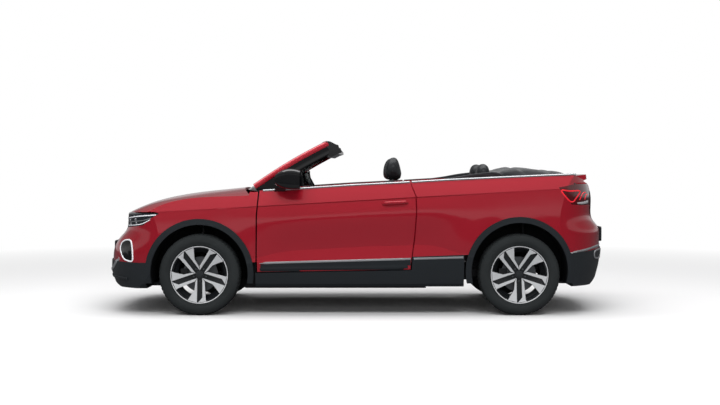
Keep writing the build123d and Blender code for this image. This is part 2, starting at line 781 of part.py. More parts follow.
def screen_outline(inset, foot_extra):
    """The trapezium of the windscreen opening, rounded at the head, in its own plane."""
    head_v = -screen_half - 8 + inset * 0.9

    def half_width_at(v):
        return head_half_width + (foot_half_width - head_half_width) * (v + screen_half) / (2 * screen_half)

    with BuildSketch(screen_plane) as outline:
        with BuildLine():
            Polyline(
                (half_width_at(screen_half + foot_extra) - inset, screen_half + foot_extra),
                (half_width_at(head_v) - inset, head_v),
                (inset - half_width_at(head_v), head_v),
                (inset - half_width_at(screen_half + foot_extra), screen_half + foot_extra),
                close=True,
            )
        make_face()
        fillet(outline.vertices().group_by(Axis.Z)[-1], 62 - inset * 0.4)
    return outline.sketch


with BuildPart() as screen_frame:
    add(screen_outline(0, 60))
    extrude(amount=400, both=True)
    add(screen_slab(0, frame_depth, 790), mode=Mode.INTERSECT)
    with BuildPart(mode=Mode.SUBTRACT):
        add(screen_outline(pillar_width, 90))
        extrude(amount=400, both=True)
write("windscreen_frame", screen_frame.part)

with BuildPart() as screen:
    add(screen_outline(pillar_width + seat_gap, 20))
    extrude(amount=400, both=True)
    add(screen_slab(4, 4 + glass_thickness, 780), mode=Mode.INTERSECT)
write("windscreen", screen.part)

# ---- Floor, tunnel and boot floor ---------------------------------------------------
floor_front_x = -930.0
heel_x = 545.0
rear_floor_z = 405.0
boot_front_x = 1090.0
boot_floor_z = 460.0
tunnel_top_z = 385.0
floor_half_width = door_inner_y - seat_gap
with BuildPart() as floor_pan:
    with BuildSketch(Plane.XZ.offset(-floor_half_width)):
        with BuildLine():
            Polyline(
                (floor_front_x, floor_z),
                (heel_x + floor_thickness, floor_z),
                (heel_x + floor_thickness, rear_floor_z),
                (boot_front_x, rear_floor_z),
                (boot_front_x + 40, boot_floor_z),
                (1985, boot_floor_z),
                (1985, boot_floor_z + floor_thickness),
                (boot_front_x + 20, boot_floor_z + floor_thickness),
                (boot_front_x - 20, rear_floor_z + floor_thickness),
                (heel_x, rear_floor_z + floor_thickness),
                (heel_x, floor_z + floor_thickness),
                (floor_front_x, floor_z + floor_thickness),
                close=True,
            )
        make_face()
    extrude(amount=2 * floor_half_width)
    # Room for the rear wheel housings
    with Locations((rear_axle_x + 270, -700, 400), (rear_axle_x + 270, 700, 400)):
        Box(1380, 2 * (700 - rear_liner_inner_y + liner_thickness + seat_gap), 500, mode=Mode.SUBTRACT)
    # Tunnel over the exhaust
    with Locations((floor_front_x, 0, floor_z)):
        Box(heel_x - floor_front_x, 2 * tunnel_half_width, tunnel_top_z - floor_z,
            align=(Align.MIN, Align.CENTER, Align.MIN))
        Box(heel_x - floor_front_x, 2 * (tunnel_half_width - 12), tunnel_top_z - floor_z - 12,
            align=(Align.MIN, Align.CENTER, Align.MIN), mode=Mode.SUBTRACT)
    # The exhaust's way through the heel board
    with Locations((heel_x - 1, 0, floor_z)):
        Box(floor_thickness + 2, 2 * (tunnel_half_width - 12), 110,
            align=(Align.MIN, Align.CENTER, Align.MIN), mode=Mode.SUBTRACT)
write("floor_pan", floor_pan.part)

# ---- Bulkhead, door posts with their hinge leaves, and cowl -------------------------
bulkhead_x = -952.0
post_outer_y = 856.0
post_front_x = -938.0
post_rear_x = door_front_x - 13
front_liner_bar = arch_tube(
    front_axle_x, front_arch_height, liner_radius + liner_thickness + seat_gap,
    front_liner_inner_y - liner_thickness - seat_gap, 900
)
with BuildPart() as bulkhead:
    with Locations((bulkhead_x, 0, floor_z)):
        Box(22, 2 * floor_half_width, 975 - floor_z, align=(Align.MIN, Align.CENTER, Align.MIN))
    with Locations((bulkhead_x, 0, floor_z)):
        Box(60, 2 * (tunnel_half_width - 12), tunnel_top_z - floor_z - 12,
            align=(Align.CENTER, Align.CENTER, Align.MIN), mode=Mode.SUBTRACT)
    for side in (-1, 1):
        with Locations(((post_front_x + post_rear_x) / 2, side * (720 + post_outer_y) / 2, 0)):
            with Locations((0, 0, 250)):
                Box(post_rear_x - post_front_x, post_outer_y - 720, 700,
                    align=(Align.CENTER, Align.CENTER, Align.MIN))
        # Bracket that the foot of the windscreen frame stands on
        with Locations((-840, side * 723, 900)):
            Box(110, 38, 200)
        for z in hinge_heights:
            with BuildSketch(Plane.XY.offset(z - hinge_leaf_height / 2)):
                with Locations((door_hinge_x, side * door_hinge_y)):
                    Circle(hinge_pin_radius + hinge_eye_wall)
                with Locations((door_hinge_x, side * (door_hinge_y - 60))):
                    Rectangle(16, 120)
                with Locations(((door_hinge_x + post_rear_x) / 2, side * 742)):
                    Rectangle(door_hinge_x - post_rear_x + 16, 16)
                with Locations((post_rear_x - 6, side * 742)):
                    Rectangle(24, 30)
            extrude(amount=hinge_leaf_height)
            with Locations((door_hinge_x, side * door_hinge_y, z + hinge_leaf_height / 2)):
                Cylinder(hinge_pin_radius, hinge_leaf_height + 8, align=(Align.CENTER, Align.CENTER, Align.MIN))
    # The cowl tray closes the gap between bonnet and windscreen.
    with Locations((-975, 0, 964)):
        Box(95, 2 * 700, 8, align=(Align.MIN, Align.CENTER, Align.MIN))
    # The ears and pins that the bonnet turns on
    for side in (-1, 1):
        with BuildSketch(Plane.XZ.offset(-side * (bonnet_hinge_y - 10 - seat_gap) - 10)):
            with Locations((bonnet_hinge_x, bonnet_hinge_z)):
                Circle(hinge_pin_radius + hinge_eye_wall)
            with Locations((bonnet_hinge_x, bonnet_hinge_z - 10)):
                Rectangle(14, 20)
        extrude(amount=20)
        with BuildSketch(Plane.XZ.offset(-side * bonnet_hinge_y - 24)):
            with Locations((bonnet_hinge_x, bonnet_hinge_z)):
                Circle(hinge_pin_radius)
        extrude(amount=48)
    add(screen_slab(-10, frame_depth + seat_gap, 790), mode=Mode.SUBTRACT)
    add([front_liner_bar, front_liner_bar.mirror(Plane.XZ)], mode=Mode.SUBTRACT)
    add(inner_form, mode=Mode.INTERSECT)
write("bulkhead", bulkhead.part)


def side_extrusion(points, half_reach, centre_y=0.0):
    """A plain block with the outline given in side view, centred on centre_y."""
    with BuildPart() as block:
        with BuildSketch(Plane.XZ.offset(-centre_y - half_reach)):
            with BuildLine():
                Polyline(*points, close=True)
            make_face()
        extrude(amount=2 * half_reach)
    return block.part


# ---- Dashboard, console, steering column and wheel ----------------------------------
floor_top = floor_z + floor_thickness
tilt = Vector(1, 0, 0).rotate(Axis.Y, -steering_tilt)
wheel_centre = Vector(steering_x, -driver_y, steering_z)
column_length = 300.0
column_radius = 42.0
dash_front_x = bulkhead_x + 22 + seat_gap
with BuildPart() as dashboard:
    add(
        side_extrusion(
            [(dash_front_x, 760), (dash_front_x, 955), (-860, 964), (-560, 1000), (-505, 975), (-500, 850), (-560, 720), (-640, 700)],
            700,
        )
    )
    fillet(dashboard.edges().filter_by(Axis.Y).group_by(Axis.X)[-1], 20)
    # The column passes through the dashboard's lower edge.
    with BuildPart(Plane(origin=wheel_centre, z_dir=-tilt), mode=Mode.SUBTRACT):
        Cylinder(column_radius + seat_gap, column_length + 120, align=(Align.CENTER, Align.CENTER, Align.MIN))
    add([screen_slab(-10, frame_depth + seat_gap, 790)], mode=Mode.SUBTRACT)
write("dashboard", dashboard.part)

with BuildPart() as console:
    add(
        side_extrusion(
            [(-620, tunnel_top_z), (-620, 690), (-520, 705), (-420, 560), (-330, 545), (-60, 540), (60, 580),
             (150, 570), (160, tunnel_top_z)],
            tunnel_half_width - 8,
        )
    )
    fillet(console.edges().filter_by(Axis.X), 12)
write("centre_console", console.part)

column_gap = 48.0
shaft_radius = 11.0
with BuildPart(Plane(origin=wheel_centre - tilt * column_gap, z_dir=-tilt)) as column:
    Cylinder(column_radius, column_length, align=(Align.CENTER, Align.CENTER, Align.MIN))
    Cylinder(shaft_radius + seat_gap, 90, align=(Align.CENTER, Align.CENTER, Align.MIN), mode=Mode.SUBTRACT)
write("steering_column", column.part)

with BuildPart(Plane(origin=wheel_centre, z_dir=tilt)) as steering_wheel:
    Torus(wheel_rim_radius, grip_radius)
    with Locations((0, 0, -18)):
        Cylinder(66, 44)
    for turn in (0, 150, 210):
        with Locations(Rot(0, 0, turn)):
            with Locations((110, 0, -10)):
                Box(140, 40 if turn else 34, 14)
    Cylinder(shaft_radius, 100, align=(Align.CENTER, Align.CENTER, Align.MAX))
write("steering_wheel", steering_wheel.part)

# ---- Seats --------------------------------------------------------------------------
rail_height = 50.0
seat_profile = [(-350, 292), (-385, 430), (-360, 505), (60, 455), (252, 1112), (330, 1122), (345, 1060),
                (215, 520), (170, 380), (110, 292)]
for side, name in ((-1, "front_seat_left"), (1, "front_seat_right")):
    centre_y = side * driver_y
    with BuildPart() as seat:
        add(side_extrusion(seat_profile, seat_width / 2, centre_y))
        fillet(seat.edges().filter_by(Axis.Y), 18)
        with Locations((-330, centre_y - 200, floor_top), (-330, centre_y + 200, floor_top)):
            Box(420, 30, 300 - floor_top, align=(Align.MIN, Align.CENTER, Align.MIN))
        with Locations((300, centre_y - 70, 1100), (300, centre_y + 70, 1100)):
            Cylinder(7, 60, align=(Align.CENTER, Align.CENTER, Align.MIN))
        with Locations((308, centre_y, 1138)):
            Box(120, 270, 165, align=(Align.CENTER, Align.CENTER, Align.MIN))
    write(name, seat.part)

rear_floor_top = rear_floor_z + floor_thickness
bench_half_width = rear_liner_inner_y - liner_thickness - seat_gap
with BuildPart() as bench:
    add(
        side_extrusion(
            [(575, rear_floor_top), (560, 570), (590, 612), (920, 572), (1060, 1090), (1140, 1100), (1150, 1000),
             (1060, rear_floor_top)],
            bench_half_width,
        )
    )
    fillet(bench.edges().filter_by(Axis.Y).group_by(Axis.Z)[-1], 18)
    for y in (-290, 290):
        with Locations((1090, y - 60, 1080), (1090, y + 60, 1080)):
            Cylinder(7, 50, align=(Align.CENTER, Align.CENTER, Align.MIN))
        with Locations((1085, y, 1112)):
            Box(120, 250, 136, align=(Align.CENTER, Align.CENTER, Align.MIN))
write("rear_bench", bench.part)

# ---- Rear bulkhead and the folded soft top ------------------------------------------
wall_x = 1166.0
with BuildPart() as rear_wall:
    with BuildSketch(Plane.YZ.offset(wall_x)):
        with BuildLine():
            Polyline(
                (-bench_half_width, boot_floor_z + floor_thickness),
                (-bench_half_width, 790),
                (-quarter_inner_y + seat_gap, 790),
                (-quarter_inner_y + seat_gap, 1075),
                (quarter_inner_y - seat_gap, 1075),
                (quarter_inner_y - seat_gap, 790),
                (bench_half_width, 790),
                (bench_half_width, boot_floor_z + floor_thickness),
                close=True,
            )
        make_face()
    extrude(amount=16)
    # The tray that the soft top lies in, over the boot
    with Locations((wall_x, 0, 1059)):
        Box(lid_front_x - 30 - wall_x, 2 * (quarter_inner_y - seat_gap), 16,
            align=(Align.MIN, Align.CENTER, Align.MIN))
    # The ears and pins that the boot lid turns on
    for side in (-1, 1):
        with BuildSketch(Plane.XZ.offset(-side * (lid_hinge_y - 10 - seat_gap) - 10)):
            with Locations((lid_front_x, lid_hinge_z)):
                Circle(hinge_pin_radius + hinge_eye_wall)
            with BuildLine():
                Polyline((1770, 1070), (1806, 1124), (1824, 1112), (1784, 1062), close=True)
            make_face()
        extrude(amount=20)
        with BuildSketch(Plane.XZ.offset(-side * lid_hinge_y - 24)):
            with Locations((lid_front_x, lid_hinge_z)):
                Circle(hinge_pin_radius)
        extrude(amount=48)
write("rear_wall", rear_wall.part)

tray_top_z = 1075.0
top_profile = [(1176, tray_top_z + seat_gap), (1168, 1160), (1230, 1206), (1368, 1219), (1498, 1210), (1628, 1197), (1745, 1179),
               (1774, 1150), (1774, tray_top_z + seat_gap)]
with BuildPart() as soft_top:
    add(side_extrusion(top_profile, 640))
    fillet(soft_top.edges().filter_by(Axis.X), 20)
write("folded_soft_top", soft_top.part)

# ---- Engine, tank and exhaust -------------------------------------------------------
engine_box = (-1760, -1225, 390, 300, 830)
with BuildPart() as engine:
    with Locations((engine_box[0], 0, engine_box[3])):
        Box(engine_box[1] - engine_box[0], 2 * engine_box[2], engine_box[4] - engine_box[3],
            align=(Align.MIN, Align.CENTER, Align.MIN))
write("engine_block", engine.part)

with BuildPart() as tank:
    with Locations((600, 0, 275)):
        Box(440, 900, rear_floor_z - 275, align=(Align.MIN, Align.CENTER, Align.MIN))
    fillet(tank.edges().filter_by(Axis.Z), 40)
write("fuel_tank", tank.part)

pipe_radius = 25.0
silencer_x = 1650.0
pipe_route = [(engine_box[1], 0, 400), (-1090, 0, 400), (-980, 0, 290), (480, 0, 290), (580, 0, 242),
              (1480, 0, 242), (1560, 0, 330), (silencer_x - seat_gap, 0, 330)]
with BuildPart() as exhaust:
    with BuildLine() as route:
        FilletPolyline(*pipe_route, radius=55)
    with BuildSketch(Plane(origin=pipe_route[0], z_dir=(1, 0, 0))):
        Circle(pipe_radius)
    sweep(path=route.wires()[0])
with BuildPart() as silencer:
    with Locations((silencer_x, 0, 295)):
        Box(220, 900, 120, align=(Align.MIN, Align.CENTER, Align.MIN))
    with Locations((silencer_x + 110, -300, 415), (silencer_x + 110, 300, 415)):
        Box(30, 30, boot_floor_z - 415, align=(Align.CENTER, Align.CENTER, Align.MIN))
write("exhaust", Part() + [exhaust.part, silencer.part])

# ---- Front suspension and steering --------------------------------------------------
kingpin_low = Vector(front_axle_x, -kingpin_low_y, kingpin_low_z)
kingpin_top = Vector(front_axle_x, -kingpin_top_y, kingpin_top_z)
kingpin = (kingpin_top - kingpin_low).normalized()
arm_z = kingpin_low_z - 40
with BuildPart() as subframe:
    with Locations((front_axle_x - 70, 0, arm_z - 12)):
        Box(360, 640, 36, align=(Align.MIN, Align.CENTER, Align.MIN))
    for side in (-1, 1):
        with BuildSketch(Plane.XY.offset(arm_z)):
            with BuildLine():
                Polyline(
                    (front_axle_x - 60, side * 315),
                    (front_axle_x - 24, side * kingpin_low_y),
                    (front_axle_x + 24, side * kingpin_low_y),
                    (front_axle_x + 60, side * 520),
                    (front_axle_x + 250, side * 315),
                    close=True,
                )
            make_face()
            with Locations((front_axle_x, side * kingpin_low_y)):
                Circle(24)
        extrude(amount=20)
        foot = Vector(front_axle_x, side * kingpin_low_y, kingpin_low_z)
        up = Vector(0, -side * (kingpin_low_y - kingpin_top_y), kingpin_top_z - kingpin_low_z).normalized()
        with BuildPart(Plane(origin=foot - up * 26, z_dir=up)):
            Cylinder(ball_stud_radius, 66, align=(Align.CENTER, Align.CENTER, Align.MIN))
    # Legs back to the foot of the bulkhead
    for side in (-1, 1):
        with Locations((bulkhead_x - seat_gap, side * 290, arm_z - 12)):
            Box(80, 50, 76, align=(Align.MAX, Align.CENTER, Align.MIN))
write("front_subframe", subframe.part)

strut_foot = kingpin_top - kingpin * 190
with BuildPart() as strut:
    with BuildPart(Plane(origin=kingpin_top, z_dir=-kingpin)):
        Cylinder(strut_rod_radius, 300, align=(Align.CENTER, Align.CENTER, Align.MIN))
        Cylinder(spring_radius + 4, 14, align=(Align.CENTER, Align.CENTER, Align.MIN))
        # Coil spring under the top mounting, as a stack of turns
        for turn in range(4):
            with Locations((0, 0, 20 + 26 * turn)):
                Cylinder(spring_radius, 15, align=(Align.CENTER, Align.CENTER, Align.MIN))
        Cylinder(spring_radius - 10, 118, align=(Align.CENTER, Align.CENTER, Align.MIN))
    # The body's own strut tower, round the spring from the housing's crown to the mounting
    with BuildPart(Plane(origin=kingpin_top, z_dir=-kingpin), mode=Mode.PRIVATE) as tower:
        Cylinder(spring_radius + 20, 150, align=(Align.CENTER, Align.CENTER, Align.MIN))
        with Locations((0, 0, 8)):
            Cylinder(spring_radius + 14, 150, align=(Align.CENTER, Align.CENTER, Align.MIN), mode=Mode.SUBTRACT)
    with BuildPart(mode=Mode.PRIVATE) as tower_end:
        add(tower.part)
        add(front_liner_bar, mode=Mode.SUBTRACT)
    add(tower_end.part)
write("front_struts", Part() + [strut.part, strut.part.mirror(Plane.XZ)])

wheel_plane_front = Plane(origin=(front_axle_x, -front_track / 2, tyre_radius), x_dir=(1, 0, 0), z_dir=(0, -1, 0))
wheel_plane_rear = Plane(origin=(rear_axle_x, -rear_track / 2, tyre_radius), x_dir=(1, 0, 0), z_dir=(0, -1, 0))
disc_offset = 0.0
carrier_out = -30.0
carrier_in = -112.0
stub_out = 36.0


def caliper(plane, side):
    """Brake caliper straddling the disc, on the side of the axle toward side * X."""
    with BuildPart() as block:
        with BuildSketch(plane.offset(carrier_out - 4)):
            with Locations((side * 128, 0)):
                Rectangle(66, 96)
        extrude(amount=66)
        with BuildSketch(plane.offset(disc_offset - running_gap)):
            Circle(disc_radius + running_gap)
        extrude(amount=disc_thickness + 2 * running_gap, mode=Mode.SUBTRACT)
        with BuildSketch(plane.offset(carrier_out - 24)):
            with Locations((side * 85, 0)):
                Rectangle(120, 60)
        extrude(amount=20)
    return block.part


with BuildPart() as knuckle:
    with BuildSketch(wheel_plane_front.offset(carrier_in)):
        Circle(52)
    extrude(amount=carrier_out - carrier_in)
    with BuildSketch(wheel_plane_front.offset(carrier_out)):
        Circle(stub_radius)
    extrude(amount=stub_out - carrier_out)
    add(caliper(wheel_plane_front, -1))
    # Strut tube on the steering axis
    with BuildPart(Plane(origin=kingpin_low + kingpin * 90, z_dir=kingpin)):
        Cylinder(22, 330, align=(Align.CENTER, Align.CENTER, Align.MIN))
    # Boss over the lower ball stud
    with BuildPart(Plane(origin=kingpin_low + kingpin * 6, z_dir=kingpin)):
        Cylinder(24, 70, align=(Align.CENTER, Align.CENTER, Align.MIN))
    # Steering arm
    with BuildSketch(Plane.XY.offset(rack_z - 8)):
        with BuildLine():
            Polyline(
                (front_axle_x, -kingpin_low_y + 40), (front_axle_x, -640), (rack_x, -626), (rack_x, -652), close=True
            )
        make_face()
        with Locations((rack_x, -639)):
            Circle(15)
    extrude(amount=16)
    # Bores for the ball stud below and the strut rod above
    with BuildPart(Plane(origin=kingpin_low - kingpin * 10, z_dir=kingpin), mode=Mode.SUBTRACT):
        Cylinder(ball_stud_radius + seat_gap, 60, align=(Align.CENTER, Align.CENTER, Align.MIN))
    with BuildPart(Plane(origin=kingpin_low + kingpin * 290, z_dir=kingpin), mode=Mode.SUBTRACT):
        Cylinder(strut_rod_radius + seat_gap, 200, align=(Align.CENTER, Align.CENTER, Align.MIN))
both_sides("knuckle", knuckle.part)

with BuildPart() as half_shaft:
    shaft_in = engine_box[2] + seat_gap
    # The knuckle's inner face swings toward the shaft at full lock.
    shaft_swing_room = 26.0
    with BuildSketch(Plane.XZ.offset(shaft_in)):
        with Locations((front_axle_x, tyre_radius)):
            Circle(14)
    extrude(amount=front_track / 2 + carrier_in - shaft_swing_room - shaft_in)
    with BuildSketch(Plane.XZ.offset(shaft_in)):
        with Locations((front_axle_x, tyre_radius)):
            Circle(44)
    extrude(amount=70, taper=18)
write("half_shafts", Part() + [half_shaft.part, half_shaft.part.mirror(Plane.XZ)])

rod_radius = 10.0
rack_housing_half = 300.0
with BuildPart() as rack:
    with BuildSketch(Plane.XZ.offset(-rack_housing_half)):
        with Locations((rack_x, rack_z - 44)):
            Circle(30)
            Circle(rod_radius + seat_gap, mode=Mode.SUBTRACT)
    extrude(amount=2 * rack_housing_half)
    # Feet down to the subframe
    for y in (-220, 220):
        with Locations((rack_x, y, arm_z + 24)):
            Box(46, 50, rack_z - 44 - 24 - arm_z - 24, align=(Align.CENTER, Align.CENTER, Align.MIN))
write("steering_rack", rack.part)

with BuildPart() as tie_rods:
    with BuildSketch(Plane.XZ.offset(-640)):
        with Locations((rack_x, rack_z - 44)):
            Circle(rod_radius)
    extrude(amount=1280)
    for side in (-1, 1):
        with Locations((rack_x, side * 639, rack_z - 44 - 12)):
            Cylinder(15, 30, align=(Align.CENTER, Align.CENTER, Align.MIN))
write("tie_rods", tie_rods.part)

# ---- Rear axle ----------------------------------------------------------------------
beam_x = rear_axle_x - 230
arm_y = 600.0
beam_radius = 32.0
with BuildPart() as rear_axle:
    with BuildSketch(Plane.XZ.offset(-arm_y)):
        with Locations((beam_x, 318)):
            Circle(beam_radius)
    extrude(amount=2 * arm_y)
    for side in (-1, 1):
        with BuildSketch(Plane.XZ.offset(side * arm_y - 22)):
            with BuildLine():
                Polyline(
                    (beam_x - 150, 300), (beam_x - 150, 366), (rear_axle_x + 20, 372), (rear_axle_x + 90, 350),
                    (rear_axle_x + 90, 318), (rear_axle_x, 290), close=True,
                )
            make_face()
        extrude(amount=44)
        # Pivot bracket up to the floor
        with Locations((beam_x - 130, side * 556, 350)):
            Box(60, 44, rear_floor_z - seat_gap - 350, align=(Align.CENTER, Align.CENTER, Align.MIN))
        # Coil spring up to the boot floor, and the damper beside it
        with Locations((beam_x + 90, side * 500, 340)):
            Cylinder(46, boot_floor_z - seat_gap - 340, align=(Align.CENTER, Align.CENTER, Align.MIN))
            with Locations((0, side * 50, -8)):
                Box(110, 120, 20, align=(Align.CENTER, Align.CENTER, Align.MIN))
        with Locations((rear_axle_x + 64, side * 596, 350)):
            Cylinder(22, 300, align=(Align.CENTER, Align.CENTER, Align.MIN))
            Cylinder(10, 405, align=(Align.CENTER, Align.CENTER, Align.MIN))
    with BuildPart() as hub_end:
        with BuildSketch(wheel_plane_rear.offset(-rear_track / 2 + arm_y)):
            Circle(50)
        extrude(amount=rear_track / 2 - arm_y + carrier_out)
        with BuildSketch(wheel_plane_rear.offset(carrier_out)):
            Circle(stub_radius)
        extrude(amount=stub_out - carrier_out)
        add(caliper(wheel_plane_rear, -1))
    add(hub_end.part.mirror(Plane.XZ))
write("rear_axle", rear_axle.part)

# ---- Wheels and tyres ---------------------------------------------------------------
bead_half = 90.0
barrel_outer = [
    (rim_flange_radius, -98), (rim_flange_radius, -bead_half), (rim_radius + 2, -86), (rim_radius - 2, -30),
    (190, -8), (190, 26), (rim_radius - 2, 48), (rim_radius + 2, 86), (rim_flange_radius, bead_half),
    (rim_flange_radius, 98),
]
barrel_inner = [(226, 98), (208, 84), (204, 48), (181, 26), (181, -8), (204, -30), (208, -84), (226, -98)]
dish = [(0, 60), (hub_radius, 62), (150, 72), (209, 88), (209, 60), (150, 46), (hub_radius, 34), (0, 34)]
window_edges = (-12.0, 22.0)
window_foot_radius = 62.0
window_rim_radius = 202.0
with BuildPart() as rim:
    with BuildSketch(Plane.XZ):
        with BuildLine():
            Polyline(*barrel_outer, *barrel_inner, close=True)
        make_face()
        with BuildLine():
            Polyline(*dish, close=True)
        make_face()
    revolve(axis=Axis.Z)
    # Five windows between the spokes
    for window in range(spoke_count):
        turn = 360 / spoke_count * window
        with BuildSketch(Plane.XY.offset(20).rotated((0, 0, turn))):
            with BuildLine():
                foot = (-7, window_foot_radius)
                left = Vector(0, window_rim_radius).rotate(Axis.Z, -window_edges[0])
                middle = Vector(0, window_rim_radius).rotate(Axis.Z, -(window_edges[0] + window_edges[1]) / 2)
                right = Vector(0, window_rim_radius).rotate(Axis.Z, -window_edges[1])
                Line(foot, (left.X, left.Y))
                ThreePointArc((left.X, left.Y), (middle.X, middle.Y), (right.X, right.Y))
                Line((right.X, right.Y), (9, window_foot_radius))
                Line((9, window_foot_radius), foot)
            make_face()
        extrude(amount=90, mode=Mode.SUBTRACT)
    # Hub and brake disc behind the spokes
    with BuildSketch(Plane.XY.offset(disc_offset)):
        Circle(disc_radius)
    extrude(amount=disc_thickness)
    with BuildSketch(Plane.XY.offset(-20)):
        Circle(46)
    extrude(amount=70)
    with BuildSketch(Plane.XY.offset(disc_offset + disc_thickness)):
        Circle(hub_radius)
    extrude(amount=20)
    with BuildSketch(Plane.XY.offset(-20)):
        Circle(stub_radius + seat_gap)
    extrude(amount=20 + stub_out + running_gap, mode=Mode.SUBTRACT)

tyre_bore = rim_radius + 2 + seat_gap
with BuildPart() as tyre:
    with BuildSketch(Plane.XZ):
        with BuildLine():
            bead = (rim_flange_radius + 2, bead_half - seat_gap)
            bulge = (tyre_radius - 62, tyre_width / 2)
            shoulder = (tyre_radius - 16, tyre_width / 2 - 14)
            tread = (tyre_radius, tyre_width / 2 - 38)
            Polyline((tyre_bore, 0), (tyre_bore, bead_half - 4 - 2 * seat_gap), bead)
            Spline(bead, bulge, shoulder)
            ThreePointArc(shoulder, (tyre_radius - 4, tyre_width / 2 - 23), tread)
            Polyline(tread, (tyre_radius, 0), (tyre_bore, 0))
        make_face()
    revolve(axis=Axis.Z)
    split(bisect_by=Plane.XY, keep=Keep.TOP)
    mirror(about=Plane.XY)

for name, plane in (("front", wheel_plane_front), ("rear", wheel_plane_rear)):
    both_sides(f"wheel_{name}", rim.part.moved(plane.location))
    both_sides(f"tyre_{name}", tyre.part.moved(plane.location))
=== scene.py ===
import bpy
import bmesh
import json
import math
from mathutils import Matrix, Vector
from mathutils.bvhtree import BVHTree

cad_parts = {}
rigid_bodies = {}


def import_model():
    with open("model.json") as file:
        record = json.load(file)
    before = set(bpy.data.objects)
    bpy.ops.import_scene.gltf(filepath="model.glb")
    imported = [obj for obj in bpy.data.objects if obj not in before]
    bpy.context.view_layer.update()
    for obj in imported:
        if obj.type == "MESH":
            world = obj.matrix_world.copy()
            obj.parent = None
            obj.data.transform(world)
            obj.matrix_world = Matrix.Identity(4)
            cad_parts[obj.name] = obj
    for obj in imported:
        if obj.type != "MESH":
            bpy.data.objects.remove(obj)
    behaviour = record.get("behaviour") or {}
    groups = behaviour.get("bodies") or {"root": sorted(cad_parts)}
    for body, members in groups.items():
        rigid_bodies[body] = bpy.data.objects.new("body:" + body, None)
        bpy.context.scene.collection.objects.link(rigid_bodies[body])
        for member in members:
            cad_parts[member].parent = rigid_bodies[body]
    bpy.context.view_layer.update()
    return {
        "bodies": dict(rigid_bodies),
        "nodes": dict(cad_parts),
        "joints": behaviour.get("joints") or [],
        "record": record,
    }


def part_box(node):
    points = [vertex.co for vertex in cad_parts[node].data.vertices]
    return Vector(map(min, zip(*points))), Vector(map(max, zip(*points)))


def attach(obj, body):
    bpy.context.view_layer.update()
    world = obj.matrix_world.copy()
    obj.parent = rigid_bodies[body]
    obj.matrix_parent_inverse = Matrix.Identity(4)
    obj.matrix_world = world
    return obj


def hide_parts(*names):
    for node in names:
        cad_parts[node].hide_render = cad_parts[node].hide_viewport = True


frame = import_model()
nodes = frame["nodes"]

# ---- Studio ---------------------------------------------------------------------------
# A pale floor that keeps the car's shadow, a white surround, and large soft lamps: one
# overhead along the car and one low on each side, as a car is lit for a catalogue.


def linear(code, alpha=1.0):
    """An sRGB colour written as hex, as the linear numbers that a socket takes."""
    parts = [int(code[i:i + 2], 16) / 255 for i in (1, 3, 5)]
    return tuple(c / 12.92 if c <= 0.04045 else ((c + 0.055) / 1.055) ** 2.4 for c in parts) + (alpha,)


def add_node(tree, kind, inputs=None, links=None, **settings):
    """Add one node to a tree, with its settings, socket values and incoming links."""
    node = tree.nodes.new(kind)
    for key, value in settings.items():
        setattr(node, key, value)
    for key, value in (inputs or {}).items():
        node.inputs[key].default_value = value
    for key, source in (links or {}).items():
        tree.links.new(source, node.inputs[key])
    return node


camera_height = 1.175
camera_distance = 10.40
camera_tilt_deg = 1.48
focal_length_mm = 58.2
camera = bpy.data.objects.new("camera", bpy.data.cameras.new("camera"))
bpy.context.collection.objects.link(camera)
camera.location = (0.022, -camera_distance, camera_height)
camera.rotation_euler = (math.radians(90 - camera_tilt_deg), 0, 0)
camera.data.sensor_width = 36
camera.data.lens = focal_length_mm
camera.data.clip_end = 200
bpy.context.scene.camera = camera

world = bpy.data.worlds.new("studio surround")
bpy.context.scene.world = world
world.use_nodes = True
tree = world.node_tree
tree.nodes.clear()
direction = add_node(tree, "ShaderNodeTexCoord")
split_direction = add_node(tree, "ShaderNodeSeparateXYZ", links={"Vector": direction.outputs["Generated"]})
surround = add_node(tree, "ShaderNodeValToRGB", links={"Fac": split_direction.outputs["Z"]})
ramp = surround.color_ramp
ramp.elements[0].position = 0.0
ramp.elements[0].color = (0.10, 0.10, 0.11, 1)
ramp.elements[1].position = 1.0
ramp.elements[1].color = (0.62, 0.62, 0.64, 1)
for place, level in ((0.02, 0.85), (0.09, 0.80), (0.16, 0.30), (0.45, 0.26), (0.62, 0.60)):
    stop = ramp.elements.new(place)
    stop.color = (level, level, level * 1.01, 1)
lighting = add_node(tree, "ShaderNodeBackground", {"Strength": 0.62}, {"Color": surround.outputs["Color"]})
backdrop = add_node(tree, "ShaderNodeBackground", {"Color": (1, 1, 1, 1), "Strength": 1.0})
seen = add_node(tree, "ShaderNodeLightPath")
mix = add_node(tree, "ShaderNodeMixShader", links={0: seen.outputs["Is Camera Ray"],
                                                   1: lighting.outputs[0], 2: backdrop.outputs[0]})
add_node(tree, "ShaderNodeOutputWorld", links={"Surface": mix.outputs[0]})

floor_mesh = bpy.data.meshes.new("studio_floor")
floor_mesh.from_pydata([(-40, -30, 0), (40, -30, 0), (40, 60, 0), (-40, 60, 0)], [], [(0, 1, 2, 3)])
floor = bpy.data.objects.new("studio_floor", floor_mesh)
bpy.context.collection.objects.link(floor)
floor_paint = bpy.data.materials.new("studio floor")
floor_paint.use_nodes = True
tree = floor_paint.node_tree
tree.nodes.clear()
place = add_node(tree, "ShaderNodeTexCoord")
distance = add_node(tree, "ShaderNodeVectorMath", links={0: place.outputs["Object"]}, operation="LENGTH")
fade = add_node(tree, "ShaderNodeMapRange", {"From Min": 3.0, "From Max": 9.0}, {"Value": distance.outputs["Value"]})
matt = add_node(tree, "ShaderNodeBsdfDiffuse", {"Color": linear("#F4F4F4")})
white = add_node(tree, "ShaderNodeEmission", {"Color": (1, 1, 1, 1), "Strength": 1.0})
seen = add_node(tree, "ShaderNodeLightPath")
